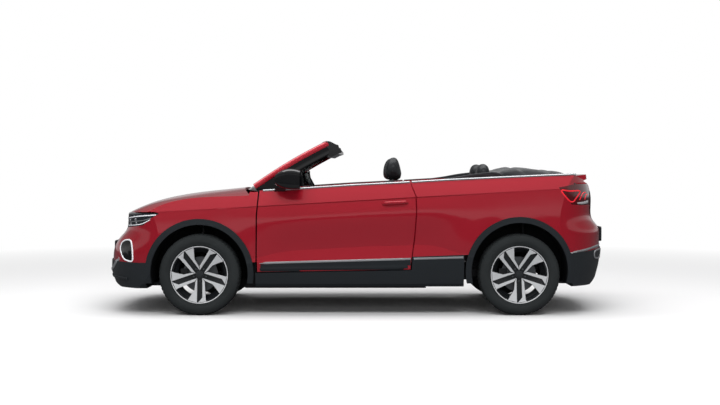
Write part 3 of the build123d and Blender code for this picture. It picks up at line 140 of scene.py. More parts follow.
share = add_node(tree, "ShaderNodeMath", links={0: fade.outputs[0], 1: seen.outputs["Is Camera Ray"]},
                 operation="MULTIPLY")
mix = add_node(tree, "ShaderNodeMixShader", links={0: share.outputs[0], 1: matt.outputs[0], 2: white.outputs[0]})
# What the car itself sees of the floor is darker, so that its lower sides stay deep in colour.
dark = add_node(tree, "ShaderNodeBsdfDiffuse", {"Color": linear("#6E6E70")})
either = add_node(tree, "ShaderNodeMixShader",
                  links={0: seen.outputs["Is Camera Ray"], 1: dark.outputs[0], 2: mix.outputs[0]})
add_node(tree, "ShaderNodeOutputMaterial", links={"Surface": either.outputs[0]})
floor_mesh.materials.append(floor_paint)

lamps = (
    ("overhead", (0.0, 0.0, 6.0), (0, 0, 0), (9.0, 3.6), 300),
    ("near_side", (-0.5, -6.5, 6.5), (42, 0, 0), (11.0, 2.4), 420),
    ("near_fill", (0.0, -9.0, 2.6), (76, 0, 0), (12.0, 2.0), 130),
    ("far_side", (0.5, 7.5, 5.5), (-52, 0, 0), (10.0, 2.4), 120),
)
for name, place, turn, size, power in lamps:
    light = bpy.data.lights.new(name, "AREA")
    light.shape = "RECTANGLE"
    light.size, light.size_y = size
    light.energy = power
    lamp = bpy.data.objects.new(name, light)
    lamp.location = place
    lamp.rotation_euler = [math.radians(a) for a in turn]
    lamp.visible_camera = False
    lamp.visible_glossy = name == "overhead"
    bpy.context.collection.objects.link(lamp)
bpy.context.scene.view_settings.view_transform = "Standard"


# ---- Painted body panels --------------------------------------------------------------
# Pressed steel panels in a deep red metallic: a red base coat with fine flake under a
# clear, glassy lacquer.  The panels are the CAD's own, each given this paint.
def new_finish(name):
    """A material with only a principled shader and its output; returns all three."""
    material = bpy.data.materials.new(name)
    material.use_nodes = True
    tree = material.node_tree
    tree.nodes.clear()
    shader = add_node(tree, "ShaderNodeBsdfPrincipled")
    add_node(tree, "ShaderNodeOutputMaterial", links={"Surface": shader.outputs[0]})
    return material, tree, shader


def two_tone(tree, shader, scale, detail, low, high):
    """Vary the base colour between two tones with a noise; returns the object coordinates."""
    here = add_node(tree, "ShaderNodeTexCoord")
    cloud = add_node(tree, "ShaderNodeTexNoise", {"Scale": scale, "Detail": detail}, {"Vector": here.outputs["Object"]})
    tone = add_node(tree, "ShaderNodeMix", data_type="RGBA")
    tone.inputs[6].default_value = low
    tone.inputs[7].default_value = high
    tree.links.new(cloud.outputs["Fac"], tone.inputs[0])
    tree.links.new(tone.outputs[2], shader.inputs["Base Color"])
    return here


def plain_finish(name, colour, roughness, metallic=0.0, grain=0.0, grain_scale=900.0, coat=0.0, shade=0.12):
    """A finish whose colour varies a little and whose surface has a fine moulded or cast grain."""
    material, tree, shader = new_finish(name)
    dark = tuple(c * (1 - shade) for c in linear(colour)[:3]) + (1,)
    here = two_tone(tree, shader, 7.0, 3.0, dark, linear(colour))
    shader.inputs["Roughness"].default_value = roughness
    shader.inputs["Metallic"].default_value = metallic
    shader.inputs["Coat Weight"].default_value = coat
    shader.inputs["Coat Roughness"].default_value = 0.04
    if grain:
        fine = add_node(tree, "ShaderNodeTexNoise", {"Scale": grain_scale, "Detail": 2.0},
                        {"Vector": here.outputs["Object"]})
        bump = add_node(tree, "ShaderNodeBump", {"Strength": grain, "Distance": 0.0006},
                        {"Height": fine.outputs["Fac"]})
        tree.links.new(bump.outputs[0], shader.inputs["Normal"])
    return material


body_paint, tree, shader = new_finish("red metallic lacquer")
two_tone(tree, shader, 1400.0, 1.0, linear("#AC0A22"), linear("#C60F2C"))
shader.inputs["Metallic"].default_value = 0.35
shader.inputs["Roughness"].default_value = 0.38
shader.inputs["Coat Weight"].default_value = 1.0
shader.inputs["Coat Roughness"].default_value = 0.03
shader.inputs["Coat IOR"].default_value = 1.6


def dress(names, material):
    """Give CAD nodes a finish."""
    for name in names:
        slots = nodes[name].data.materials
        if not slots:
            slots.append(material)
        for i in range(len(slots)):
            slots[i] = material


dress(["bonnet", "front_wing_left", "front_wing_right", "quarter_panel_left", "quarter_panel_right",
       "front_bumper", "rear_bumper", "boot_lid", "door_left", "door_right"], body_paint)

# ---- Black plastic below and round the arches -----------------------------------------
# Moulded polypropylene with a fine grain, clipped round the arches, sills and valances.
grained_black = plain_finish("grained black plastic", "#24292D", 0.55, grain=0.5, grain_scale=1500)
dress(["sills", "arch_cladding", "front_valance", "rear_valance"], grained_black)
felt_black = plain_finish("black arch liner felt", "#121416", 0.9, grain=0.8, grain_scale=500)
dress(["wheel_housings"], felt_black)
gloss_black = plain_finish("gloss black plastic", "#0B0C0E", 0.12, coat=0.6)
dress(["front_grille", "mirror_left", "mirror_right", "windscreen_frame"], gloss_black)

# ---- Underbody, axles and engine ------------------------------------------------------
# Cast and pressed steel with a dull dark coating.
cast_finish = plain_finish("cast iron", "#3A3B3D", 0.6, metallic=0.6, grain=0.6, grain_scale=400)
steel_finish = plain_finish("dull steel", "#77797B", 0.42, metallic=0.9, grain=0.2)
primer = plain_finish("dark primer", "#1B1C1E", 0.7, grain=0.2)
dress(["engine_block", "front_subframe", "knuckle_left", "knuckle_right", "rear_axle"], cast_finish)
dress(["front_struts", "half_shafts", "steering_rack", "tie_rods", "exhaust"], steel_finish)
dress(["floor_pan", "bulkhead", "rear_wall"], primer)
dress(["fuel_tank"], plain_finish("moulded tank plastic", "#141516", 0.6, grain=0.4))

# ---- Glass ----------------------------------------------------------------------------
screen_glass, tree, shader = new_finish("laminated screen glass")
shader.inputs["Base Color"].default_value = linear("#E9F0EE")
shader.inputs["Roughness"].default_value = 0.0
shader.inputs["Transmission Weight"].default_value = 1.0
shader.inputs["IOR"].default_value = 1.1
shader.inputs["Alpha"].default_value = 1.0
dress(["windscreen"], screen_glass)

lamp_clear = plain_finish("smoked headlamp cover", "#2A2F34", 0.08, coat=1.0)
dress(["headlamps"], lamp_clear)
lamp_red = plain_finish("red lamp cover", "#5A0A12", 0.08, coat=1.0)
dress(["tail_lamps"], lamp_red)

# ---- Cabin ----------------------------------------------------------------------------
cabin_black = plain_finish("soft grained cabin plastic", "#17181A", 0.62, grain=0.5, grain_scale=1100)
dress(["dashboard", "centre_console", "steering_column", "steering_wheel"], cabin_black)
seat_hide = plain_finish("black seat leather", "#1C1D20", 0.5, grain=0.6, grain_scale=700)
dress(["front_seat_left", "front_seat_right", "rear_bench"], seat_hide)
roof_cloth = plain_finish("black roof cloth", "#17181B", 0.85, grain=0.9, grain_scale=900)
dress(["folded_soft_top"], roof_cloth)

# ---- Tyres ----------------------------------------------------------------------------
# 215/55 R17 road tyres: black rubber moulded in one piece with four rain grooves round the
# tread, slots across the shoulders and fine ribs on the side walls, seated on the rim's beads.
def new_piece(name, verts, faces, materials, face_slots=None, smooth=True, sharp=35):
    """An object from plain lists, lit smoothly except across edges sharper than an angle."""
    mesh = bpy.data.meshes.new(name)
    mesh.from_pydata([tuple(v) for v in verts], [], faces)
    for material in materials:
        mesh.materials.append(material)
    if face_slots:
        mesh.polygons.foreach_set("material_index", face_slots)
    work = bmesh.new()
    work.from_mesh(mesh)
    bmesh.ops.remove_doubles(work, verts=work.verts, dist=1e-6)
    bmesh.ops.dissolve_degenerate(work, edges=work.edges, dist=1e-7)
    bmesh.ops.recalc_face_normals(work, faces=work.faces)
    work.to_mesh(mesh)
    work.free()
    piece = bpy.data.objects.new(name, mesh)
    bpy.context.collection.objects.link(piece)
    if smooth:
        mesh.shade_smooth()
        mesh.set_sharp_from_angle(angle=math.radians(sharp))
    return piece


def turned(profile, steps, adjust=None):
    """Vertices and faces of a closed outline (radius, out) turned round the wheel's axis."""
    verts, faces = [], []
    count = len(profile)
    for i in range(steps):
        angle = 2 * math.pi * i / steps
        for k, (r, w) in enumerate(profile):
            if adjust:
                r, w = adjust(i, k, r, w)
            verts.append((r * math.cos(angle), r * math.sin(angle), w))
    for i in range(steps):
        for k in range(count):
            a, b = i * count + k, i * count + (k + 1) % count
            c, d = ((i + 1) % steps) * count + (k + 1) % count, ((i + 1) % steps) * count + k
            faces.append((a, b, c, d))
    return verts, faces


def to_hub(verts, end, side):
    """Points in a wheel's own frame (rearward, up, outward) set at one of the four hubs."""
    low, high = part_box(f"wheel_{end}_{side}")
    centre_x, centre_z = (low[0] + high[0]) / 2, (low[2] + high[2]) / 2
    middle_y = (low[1] + high[1]) / 2
    outward = -1 if side == "left" else 1
    return [(centre_x + u, middle_y + outward * w, centre_z + v) for u, v, w in verts]


tyre_rubber, tree, shader = new_finish("tyre rubber")
here = two_tone(tree, shader, 5.0, 4.0, linear("#26292A"), linear("#35393A"))
fine = add_node(tree, "ShaderNodeTexNoise", {"Scale": 900.0, "Detail": 2.0}, {"Vector": here.outputs["Object"]})
bump = add_node(tree, "ShaderNodeBump", {"Strength": 0.25, "Distance": 0.0004}, {"Height": fine.outputs["Fac"]})
tree.links.new(bump.outputs[0], shader.inputs["Normal"])
shader.inputs["Roughness"].default_value = 0.68
shader.inputs["Specular IOR Level"].default_value = 0.35

groove_depth = 0.0072
# (radius, half width) from the bead's inside edge, over the side wall, to the edge of the tread
half_profile = [(0.2185, 0.0), (0.2185, 0.0845), (0.2275, 0.0880), (0.2372, 0.0893), (0.2402, 0.0925),
                (0.2424, 0.0968), (0.2455, 0.0985), (0.2500, 0.1002), (0.2515, 0.1018), (0.2535, 0.1021),
                (0.2550, 0.1010), (0.2640, 0.1052), (0.2760, 0.1074), (0.2775, 0.1069), (0.2800, 0.1075),
                (0.2890, 0.1070), (0.2905, 0.1062), (0.2930, 0.1064), (0.3030, 0.1040), (0.3110, 0.1012),
                (0.3125, 0.1001), (0.3150, 0.0998), (0.3215, 0.0958), (0.3270, 0.0905), (0.3302, 0.0850),
                (0.3320, 0.0780), (0.3330, 0.0660), (0.3333, 0.0580)]
groove_walls = ((0.0545, 0.0535, 0.0455, 0.0445), (0.0190, 0.0180, 0.0100, 0.0090))
half = list(half_profile)
for outer, deep_outer, deep_inner, inner in groove_walls:
    half += [(0.3336, outer), (0.3336 - groove_depth, deep_outer), (0.3336 - groove_depth, deep_inner), (0.3338, inner)]
whole = half + [(r, -w) for r, w in reversed(half[1:])]
shoulder_rows = [k for k, (r, w) in enumerate(whole) if r > 0.3262 and abs(w) > 0.055]
rib_rows = [k for k, (r, w) in enumerate(whole) if r > 0.333 and 0.018 < abs(w) < 0.046]


def cut_slots(i, k, r, w):
    """Slots across the shoulders, and short sipes in the ribs between the grooves."""
    if k in shoulder_rows and i % 5 == 0:
        r -= 0.0055
    if k in rib_rows and i % 5 == (2 if w > 0 else 4):
        r -= 0.0035
    return r, w


for end in ("front", "rear"):
    for side in ("left", "right"):
        verts, faces = turned(whole, 300, cut_slots)
        tyre = new_piece(f"tyre_{end}_{side}_detail", to_hub(verts, end, side), faces, [tyre_rubber], sharp=24)
        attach(tyre, f"{end}_wheel_{side}")
        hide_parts(f"tyre_{end}_{side}")

# ---- Alloy wheels ---------------------------------------------------------------------
# Cast aluminium, painted gloss black and then diamond-turned, so that only the outer faces
# of the five twin spokes and the rim's lip are bright.  Each is bolted to its hub with five
# bolts round a blank cap, and its brake disc turns with it.
machined_alloy, tree, shader = new_finish("diamond-turned aluminium")
here = two_tone(tree, shader, 18.0, 3.0, linear("#E4E6E8"), linear("#EEF0F2"))
turning = add_node(tree, "ShaderNodeTexNoise", {"Scale": 1600.0, "Detail": 1.0}, {"Vector": here.outputs["Object"]})
bump = add_node(tree, "ShaderNodeBump", {"Strength": 0.12, "Distance": 0.0002}, {"Height": turning.outputs["Fac"]})
tree.links.new(bump.outputs[0], shader.inputs["Normal"])
shader.inputs["Metallic"].default_value = 0.25
shader.inputs["Roughness"].default_value = 0.30
shader.inputs["Coat Weight"].default_value = 0.5
wheel_black = plain_finish("gloss black wheel lacquer", "#1A1D20", 0.3, coat=0.5)
disc_steel = plain_finish("ground brake disc", "#6E7174", 0.38, metallic=0.8, grain=0.15)
cap_black = plain_finish("satin black wheel cap", "#2A2D30", 0.35, coat=0.3)

spoke_axes = (54, 126, 198, 270, 342)
bolt_circle = 0.054
# Pairs of points down the two edges of each blade, as (along the spoke, across it) from the wheel's axis
bright_strip = [((0.0285, 0.0206), (0.059, 0.0420)), ((0.060, 0.0212), (0.080, 0.0435)),
                ((0.120, 0.0224), (0.130, 0.0470)), ((0.187, 0.0240), (0.188, 0.0515)),
                ((0.208, 0.0070), (0.210, 0.0540)), ((0.2265, -0.0100), (0.2195, 0.0600))]
bright_paddle = [((0.0285, -0.0206), (0.062, -0.0360)), ((0.060, -0.0203), (0.080, -0.0372)),
                 ((0.120, -0.0200), (0.125, -0.0420)), ((0.165, -0.0200), (0.165, -0.0670)),
                 ((0.200, -0.0200), (0.203, -0.0925)), ((0.2265, -0.0200), (0.2075, -0.0940))]
channel = [((0.020, 0.0150), (0.020, -0.0150)), ((0.060, 0.0330), (0.060, -0.0300)),
           ((0.120, 0.0420), (0.120, -0.0380)), ((0.165, 0.0480), (0.165, -0.0620)),
           ((0.200, 0.0520), (0.200, -0.0880)), ((0.2210, 0.0560), (0.2080, -0.0910))]
rim_lip = [(0.2350, 0.0900), (0.2366, 0.0962), (0.2350, 0.0975), (0.2310, 0.0972), (0.2285, 0.0955), (0.2255, 0.0900),
           (0.2140, 0.0790), (0.2065, 0.0640), (0.2050, 0.0480), (0.1830, 0.0260), (0.1830, -0.0080), (0.2050, -0.0300),
           (0.2080, -0.0840), (0.2260, -0.0970), (0.2350, -0.0978), (0.2350, -0.0900), (0.2178, -0.0860),
           (0.2140, -0.0300), (0.1900, -0.0080), (0.1900, 0.0260), (0.2140, 0.0480), (0.2178, 0.0845), (0.2320, 0.0890)]


def face_out(r):
    """How far outward the spokes' bright faces lie at a distance from the axis."""
    return 0.060 + 0.030 * min(r / 0.215, 1.05) ** 1.6


def blade(pairs, axis_degrees, drop, foot, chamfer, steps=3):
    """One spoke blade between two edge lines, its top face lowered by drop, its sides down to foot."""
    turn = math.radians(axis_degrees)
    verts, faces, slots = [], [], []
    lines = []
    for (left0, right0), (left1, right1) in zip(pairs, pairs[1:]):
        lines += [(Vector(left0).lerp(Vector(left1), i / steps), Vector(right0).lerp(Vector(right1), i / steps))
                  for i in range(steps)]
    lines.append((Vector(pairs[-1][0]), Vector(pairs[-1][1])))
    for left, right in lines:
        inward = (right - left).normalized() * chamfer
        ring = [(left, 1.0), (left, 0.0), (left + inward, -1.0), ((left + right) / 2, -1.0), (right - inward, -1.0),
                (right, 0.0), (right, 1.0)]
        for point, level in ring:
            top = face_out(point.length) - drop
            w = {1.0: foot + 0.012 * min(point.length / 0.2, 1), 0.0: top - chamfer, -1.0: top}[level]
            u = point.x * math.cos(turn) - point.y * math.sin(turn)
            v = point.x * math.sin(turn) + point.y * math.cos(turn)
            verts.append((u, v, w))
    for i in range(len(lines) - 1):
        for k in range(7):
            a, b = i * 7 + k, i * 7 + (k + 1) % 7
            faces.append((a, b, b + 7, a + 7))
            slots.append(0 if k in (1, 2, 3, 4) else 1)
    last = (len(lines) - 1) * 7
    faces += [tuple(range(7)), tuple(range(last, last + 7))]
    slots += [1, 1]
    return verts, faces, slots


def join(groups):
    """Several (verts, faces, slots) groups as one."""
    verts, faces, slots = [], [], []
    for more_verts, more_faces, more_slots in groups:
        start = len(verts)
        verts += list(more_verts)
        faces += [tuple(i + start for i in face) for face in more_faces]
        slots += list(more_slots)
    return verts, faces, slots


def plate(profile, steps, slot, centre=(0.0, 0.0)):
    """A solid of revolution from an open outline that starts and ends on the axis."""
    verts, faces = [], []
    for i in range(steps):
        angle = 2 * math.pi * i / steps
        verts += [(centre[0] + r * math.cos(angle), centre[1] + r * math.sin(angle), w) for r, w in profile]
    count = len(profile)
    for i in range(steps):
        for k in range(count - 1):
            a, b = i * count + k, i * count + k + 1
            c, d = ((i + 1) % steps) * count + k + 1, ((i + 1) % steps) * count + k
            faces.append((a, b, c, d))
    return verts, faces, [slot] * len(faces)


for end in ("front", "rear"):
    for side in ("left", "right"):
        groups = []
        verts, faces = turned(rim_lip, 128)
        groups.append((verts, faces, [0 if k % len(rim_lip) in (1, 2, 3) else 1 for k in range(len(faces))]))
        for axis in spoke_axes:
            verts, faces, slots = blade(channel, axis, 0.014, 0.028, 0.001)
            groups.append((verts, faces, [1] * len(slots)))
            groups.append(blade(bright_strip, axis, 0.0, 0.040, 0.0016))
            groups.append(blade(bright_paddle, axis, 0.0, 0.040, 0.0016))
        # Hub face, with the bolts in their recesses, the cap, and the disc and its bell behind
        groups.append(plate([(0.0, 0.052), (0.058, 0.052), (0.064, 0.047), (0.066, 0.022), (0.0, 0.022)], 64, 1))
        groups.append(plate([(0.0, 0.0665), (0.012, 0.0664), (0.024, 0.0650), (0.0272, 0.0635), (0.0280, 0.0600),
                             (0.0300, 0.0590), (0.0305, 0.0500), (0.0, 0.0500)], 48, 3))
        for bolt in range(5):
            angle = math.radians(spoke_axes[bolt])
            centre = (bolt_circle * math.cos(angle), bolt_circle * math.sin(angle))
            groups.append(plate([(0.0, 0.0570), (0.0060, 0.0570), (0.0078, 0.0555), (0.0080, 0.0500), (0.0, 0.0500)],
                                6, 2, centre))
        groups.append(plate([(0.0, 0.0405), (0.070, 0.0405), (0.074, 0.0380), (0.075, 0.0220), (0.1448, 0.0220),
                             (0.1450, 0.0210), (0.1450, 0.0010), (0.1448, 0.0), (0.0460, 0.0), (0.0460, -0.0190),
                             (0.0296, -0.0190), (0.0296, 0.0380), (0.0, 0.0380)], 72, 2))
        verts, faces, slots = join(groups)
        wheel = new_piece(f"alloy_wheel_{end}_{side}", to_hub(verts, end, side), faces,
                          [machined_alloy, wheel_black, disc_steel, cap_black], slots, sharp=30)
        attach(wheel, f"{end}_wheel_{side}")
        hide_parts(f"wheel_{end}_{side}")

# ---- Silver strips along the sides ----------------------------------------------------
# A satin silver moulding clipped under the red doors and quarters, from a point behind the
# front wheel to the rear arch, and on across the rear bumper above the black valance.
def skin_of(*names):
    """The surface of some CAD nodes, for laying trim on."""
    verts, faces = [], []
    for name in names:
        mesh = nodes[name].data
        start = len(verts)
        verts += [v.co.copy() for v in mesh.vertices]
        faces += [tuple(i + start for i in p.vertices) for p in mesh.polygons]
    return BVHTree.FromPolygons(verts, faces)


def side_point(skin, x, z, side):
    """Where the skin is, looking straight at the car's side, and which way it faces."""
    place, normal, _, _ = skin.ray_cast(Vector((x, side * 1.4, z)), Vector((0, -side, 0)))
    if place is None:
        place, normal, _, _ = skin.find_nearest(Vector((x, side * 0.87, z)))
    if normal.y * side < 0:
        normal = -normal
    return place, normal


def end_point(skin, y, z, end):
    """Where the skin is, looking straight at the nose (end -1) or the tail (end 1)."""
    place, normal, _, _ = skin.ray_cast(Vector((end * 2.6, y, z)), Vector((-end, 0, 0)))
    if place is None:
        place, normal, _, _ = skin.find_nearest(Vector((end * 2.1, y, z)))
    if normal.x * end < 0:
        normal = -normal
    return place, normal


def smooth_line(points, steps, closed=False):
    """A Catmull-Rom line through points of any dimension."""
    points = [Vector(p) for p in points]
    count = len(points)
    line = []
    spans = count if closed else count - 1
    for i in range(spans):
        before = points[(i - 1) % count] if closed or i else points[0]
        start, finish = points[i], points[(i + 1) % count]
        after = points[(i + 2) % count] if closed or i + 2 < count else points[-1]
        for step in range(steps):
            t = step / steps
            line.append(0.5 * (2 * start + (finish - before) * t + (2 * before - 5 * start + 4 * finish - after) * t * t
                               + (3 * start - before - 3 * finish + after) * t ** 3))
    if not closed:
        line.append(points[-1])
    return line


def moulding(places, widths, stand, sink, closed=False):
    """A crowned strip along places [(point, normal)], a list of widths or one, standing proud and sunk in."""
    count = len(places)
    verts, faces = [], []
    for i, (point, normal) in enumerate(places):
        ahead = places[(i + 1) % count if closed else min(i + 1, count - 1)][0]
        behind = places[i - 1 if closed or i else 0][0]
        across = normal.cross((ahead - behind).normalized()).normalized()
        width = widths[i] if isinstance(widths, (list, tuple)) else widths
        for share, level in ((-0.5, -sink), (-0.5, stand * 0.35), (-0.36, stand * 0.9), (0, stand), (0.36, stand * 0.9),
                             (0.5, stand * 0.35), (0.5, -sink)):
            verts.append(point + across * (share * width) + normal * level)
    for i in range(count if closed else count - 1):
        j = (i + 1) % count
        for k in range(7):
            faces.append((i * 7 + k, i * 7 + (k + 1) % 7, j * 7 + (k + 1) % 7, j * 7 + k))
    if not closed:
        faces += [tuple(range(7)), tuple(range((count - 1) * 7, count * 7))]
    return verts, faces


def merged(parts):
    """Several (verts, faces) groups as one."""
    verts, faces, _ = join([(v, f, []) for v, f in parts])
    return verts, faces


def trim_piece(name, parts, material, body, sharp=40):
    """One piece made of several groups, riding on a body."""
    verts, faces = merged(parts)
    piece = new_piece(name, verts, faces, [material], sharp=sharp)
    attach(piece, body)
    return piece


satin_silver = plain_finish("satin silver plastic", "#B4B6B9", 0.34, metallic=0.55, grain=0.1, coat=0.2)
bodies_with_side = {-1: "left", 1: "right"}
side_skin = skin_of("door_left", "door_right", "sills", "quarter_panel_left", "quarter_panel_right", "front_wing_left",
                    "front_wing_right", "arch_cladding")
for side, word in bodies_with_side.items():
    line = smooth_line([(-0.800, 0.4300), (-0.700, 0.4360), (-0.400, 0.4450), (0.0, 0.4560), (0.436, 0.4680)], 8)
    places = [side_point(side_skin, x, z, side) for x, z in line]
    widths = [min(0.017, 0.004 + 0.00045 * i * i) for i in range(len(line))]
    trim_piece(f"side_strip_door_{word}", [moulding(places, widths, 0.0035, 0.004)], satin_silver, f"door_{word}_leaf")
    line = smooth_line([(0.462, 0.4690), (0.650, 0.4740), (0.868, 0.4800)], 6)
    places = [side_point(side_skin, x, z, side) for x, z in line]
    trim_piece(f"side_strip_quarter_{word}", [moulding(places, 0.017, 0.0035, 0.004)], satin_silver, "body")

# ---- Bright belt trims ----------------------------------------------------------------
# A thin bright rail on the belt line of the door and quarter panel, over the window slot's
# black rubber seal.
belt_rail = plain_finish("anodised bright trim", "#C9CBCE", 0.22, metallic=0.9)
seal_rubber = plain_finish("black rubber seal", "#17181A", 0.7, grain=0.2)
belt_line = [(-0.775, 1.0285), (-0.600, 1.0385), (-0.474, 1.0450), (-0.200, 1.0635), (0.050, 1.0780), (0.300, 1.0890),
             (0.432, 1.0955)]
quarter_line = [(0.447, 1.0960), (0.650, 1.1095), (0.900, 1.1220), (1.176, 1.1345), (1.450, 1.1465), (1.650, 1.1545),
                (1.800, 1.1595)]


def top_rail(points, side, names, body, name, material, width, stand, inset):
    """A rail along the top edge of a panel, a little in from its outer face."""
    skin = skin_of(*names)
    places = []
    for x, z in smooth_line(points, 6):
        outer, _ = side_point(skin, x, z - 0.012, side)
        y = outer.y - side * inset
        top, _, _, _ = skin.ray_cast(Vector((x, y, 1.5)), Vector((0, 0, -1)))
        places.append((Vector((x, y, top.z if top and abs(top.z - z) < 0.03 else z)),
                       Vector((0, side * 0.50, 0.87)).normalized()))
    return trim_piece(name, [moulding(places, width, stand, 0.005)], material, body)


for side, word in bodies_with_side.items():
    door, panel = [f"door_{word}"], [f"quarter_panel_{word}"]
    rail, seal = (belt_rail, 0.020, 0.006, 0.007), (seal_rubber, 0.016, 0.007, 0.022)
    top_rail(belt_line, side, door, f"door_{word}_leaf", f"belt_rail_door_{word}", *rail)
    top_rail(quarter_line, side, panel, "body", f"belt_rail_quarter_{word}", *rail)
    top_rail(belt_line, side, door, f"door_{word}_leaf", f"window_seal_{word}", *seal)
    top_rail(quarter_line[:4], side, panel, "body", f"quarter_window_seal_{word}", *seal)

# ---- Door handles ---------------------------------------------------------------------
# A painted pull bar on each door, standing off its bowl on two feet.
def swept(stations):
    """A closed tube through rings of points, with its ends filled."""
    verts, faces = [], []
    for ring in stations:
        verts += ring
    size = len(stations[0])
    for i in range(len(stations) - 1):
        for k in range(size):
            faces.append((i * size + k, i * size + (k + 1) % size, (i + 1) * size + (k + 1) % size, (i + 1) * size + k))
    faces += [tuple(range(size)), tuple(range((len(stations) - 1) * size, len(stations) * size))]
    return verts, faces


for side, word in bodies_with_side.items():
    skin = skin_of(f"door_{word}")
    rings = []
    for i in range(25):
        share = i / 24
        x = 0.204 + share * 0.214
        z = 0.9150 + 0.012 * share
        base, normal = side_point(skin, x, z, side)
        lift = 0.026 * min(1.0, math.sin(math.pi * share) * 2.2) if 0 < share < 1 else 0.0
        tall = 0.0135 * (0.62 + 0.38 * min(1.0, math.sin(math.pi * max(share, 0.02)) * 2.5))
        thick = 0.0075
        ring = []
        for k in range(12):
            angle = 2 * math.pi * k / 12
            ring.append(base + normal * (lift + thick * math.cos(angle) * (0.6 if math.cos(angle) < 0 else 1))
                        + Vector((0, 0, 1)) * (tall * math.sin(angle)))
        rings.append(ring)
    trim_piece(f"door_handle_{word}", [swept(rings)], body_paint, f"door_{word}_leaf", sharp=60)

# ---- Front: running-light rings, skid trim and bonnet-edge light bar ------------------
# White light guides round the fog-lamp pockets, a satin silver skid along the lower lip, and
# a lit bar across the grille between the headlamps.
light_white, tree, shader = new_finish("white light guide")
shader.inputs["Base Color"].default_value = linear("#F2F5F7")
shader.inputs["Roughness"].default_value = 0.25
shader.inputs["Emission Color"].default_value = linear("#F4F8FF")
shader.inputs["Emission Strength"].default_value = 0.35
shader.inputs["Coat Weight"].default_value = 1.0
nose_skin = skin_of("front_bumper", "front_valance", "front_grille", "headlamps", "front_wing_left", "front_wing_right",
                    "arch_cladding")
ring_line = [(-1.982, 0.549), (-1.966, 0.591), (-1.926, 0.613), (-1.884, 0.613), (-1.866, 0.585), (-1.858, 0.520),
             (-1.860, 0.446), (-1.914, 0.446), (-1.949, 0.466), (-1.973, 0.508)]
for side, word in bodies_with_side.items():
    line = smooth_line(ring_line, 6, closed=True)
    places = [side_point(nose_skin, x, z, side) for x, z in line]
    trim_piece(f"running_light_{word}", [moulding(places, 0.0125, 0.005, 0.004, closed=True)], light_white, "body")
    middle = Vector((sum(p[0] for p in ring_line) / len(ring_line), sum(p[1] for p in ring_line) / len(ring_line)))
    centre, facing = side_point(nose_skin, middle.x, middle.y, side)
    verts = [centre + facing * 0.0015]
    faces = []
    for level in (0.5, 0.97):
        for x, z in line:
            spot = middle.lerp(Vector((x, z)), level)
            place, normal = side_point(nose_skin, spot.x, spot.y, side)
            verts.append(place + normal * 0.0015)
    count = len(line)
    faces += [(0, 1 + k, 1 + (k + 1) % count) for k in range(count)]
    faces += [(1 + k, 1 + count + k, 1 + count + (k + 1) % count, 1 + (k + 1) % count) for k in range(count)]
    trim_piece(f"fog_pocket_{word}", [(verts, faces)], gloss_black, "body", sharp=35)


def across_end(skin, end, rows):
    """Places on one end's skin through (y, z) points, mirrored about the centre line."""
    line = smooth_line(rows, 8)
    line = [(-y, z) for y, z in reversed(line)] + [(y, z) for y, z in line[1:]]
    return [end_point(skin, y, z, end) for y, z in line]


skid = across_end(nose_skin, -1, [(0.0, 0.345), (0.25, 0.345), (0.45, 0.352), (0.56, 0.375), (0.63, 0.415),
                                  (0.665, 0.455)])
lip = across_end(nose_skin, -1, [(0.0, 0.300), (0.30, 0.300), (0.55, 0.300), (0.70, 0.298), (0.78, 0.292)])
trim_piece("skid_trim", [moulding(skid, 0.030, 0.006, 0.004)], satin_silver, "body")
trim_piece("lower_lip", [moulding(lip, 0.022, 0.008, 0.004)], grained_black, "body")
bar = across_end(nose_skin, -1, [(0.0, 0.792), (0.25, 0.792), (0.518, 0.790)])
trim_piece("light_bar", [moulding(bar, 0.010, 0.004, 0.004)], light_white, "body")

# ---- Black lower cladding of the doors ------------------------------------------------
# A grained black shell clipped over the foot of each door below the silver strip, with one
# raised rib along it.
for side, word in bodies_with_side.items():
    skin = skin_of(f"door_{word}")
    verts, faces = [], []
    columns, rows = 40, 9
    for i in range(columns + 1):
        x = -0.8215 + i / columns * 1.2585
        top = 0.4300 + 0.0307 * (x + 0.8) - 0.006
        low = 0.3585
        for j in range(rows + 1):
            z = top + (low - top) * j / rows
            place, normal = side_point(skin, x, z, side)
            if abs(place.y) < 0.80:
                place = Vector((x, side * 0.872, z))
            rib = 0.004 if j in (5, 6) else 0.0
            verts.append(Vector((x, place.y + side * (0.0025 + rib), z)))
        verts.append(Vector((x, verts[-1].y - side * 0.010, low)))
    stride = rows + 2
    for i in range(columns):
        for j in range(rows + 1):
            faces.append((i * stride + j, i * stride + j + 1, (i + 1) * stride + j + 1, (i + 1) * stride + j))
    if side > 0:
        faces = [tuple(reversed(f)) for f in faces]
    trim_piece(f"door_cladding_{word}", [(verts, faces)], grained_black, f"door_{word}_leaf",
               sharp=35)
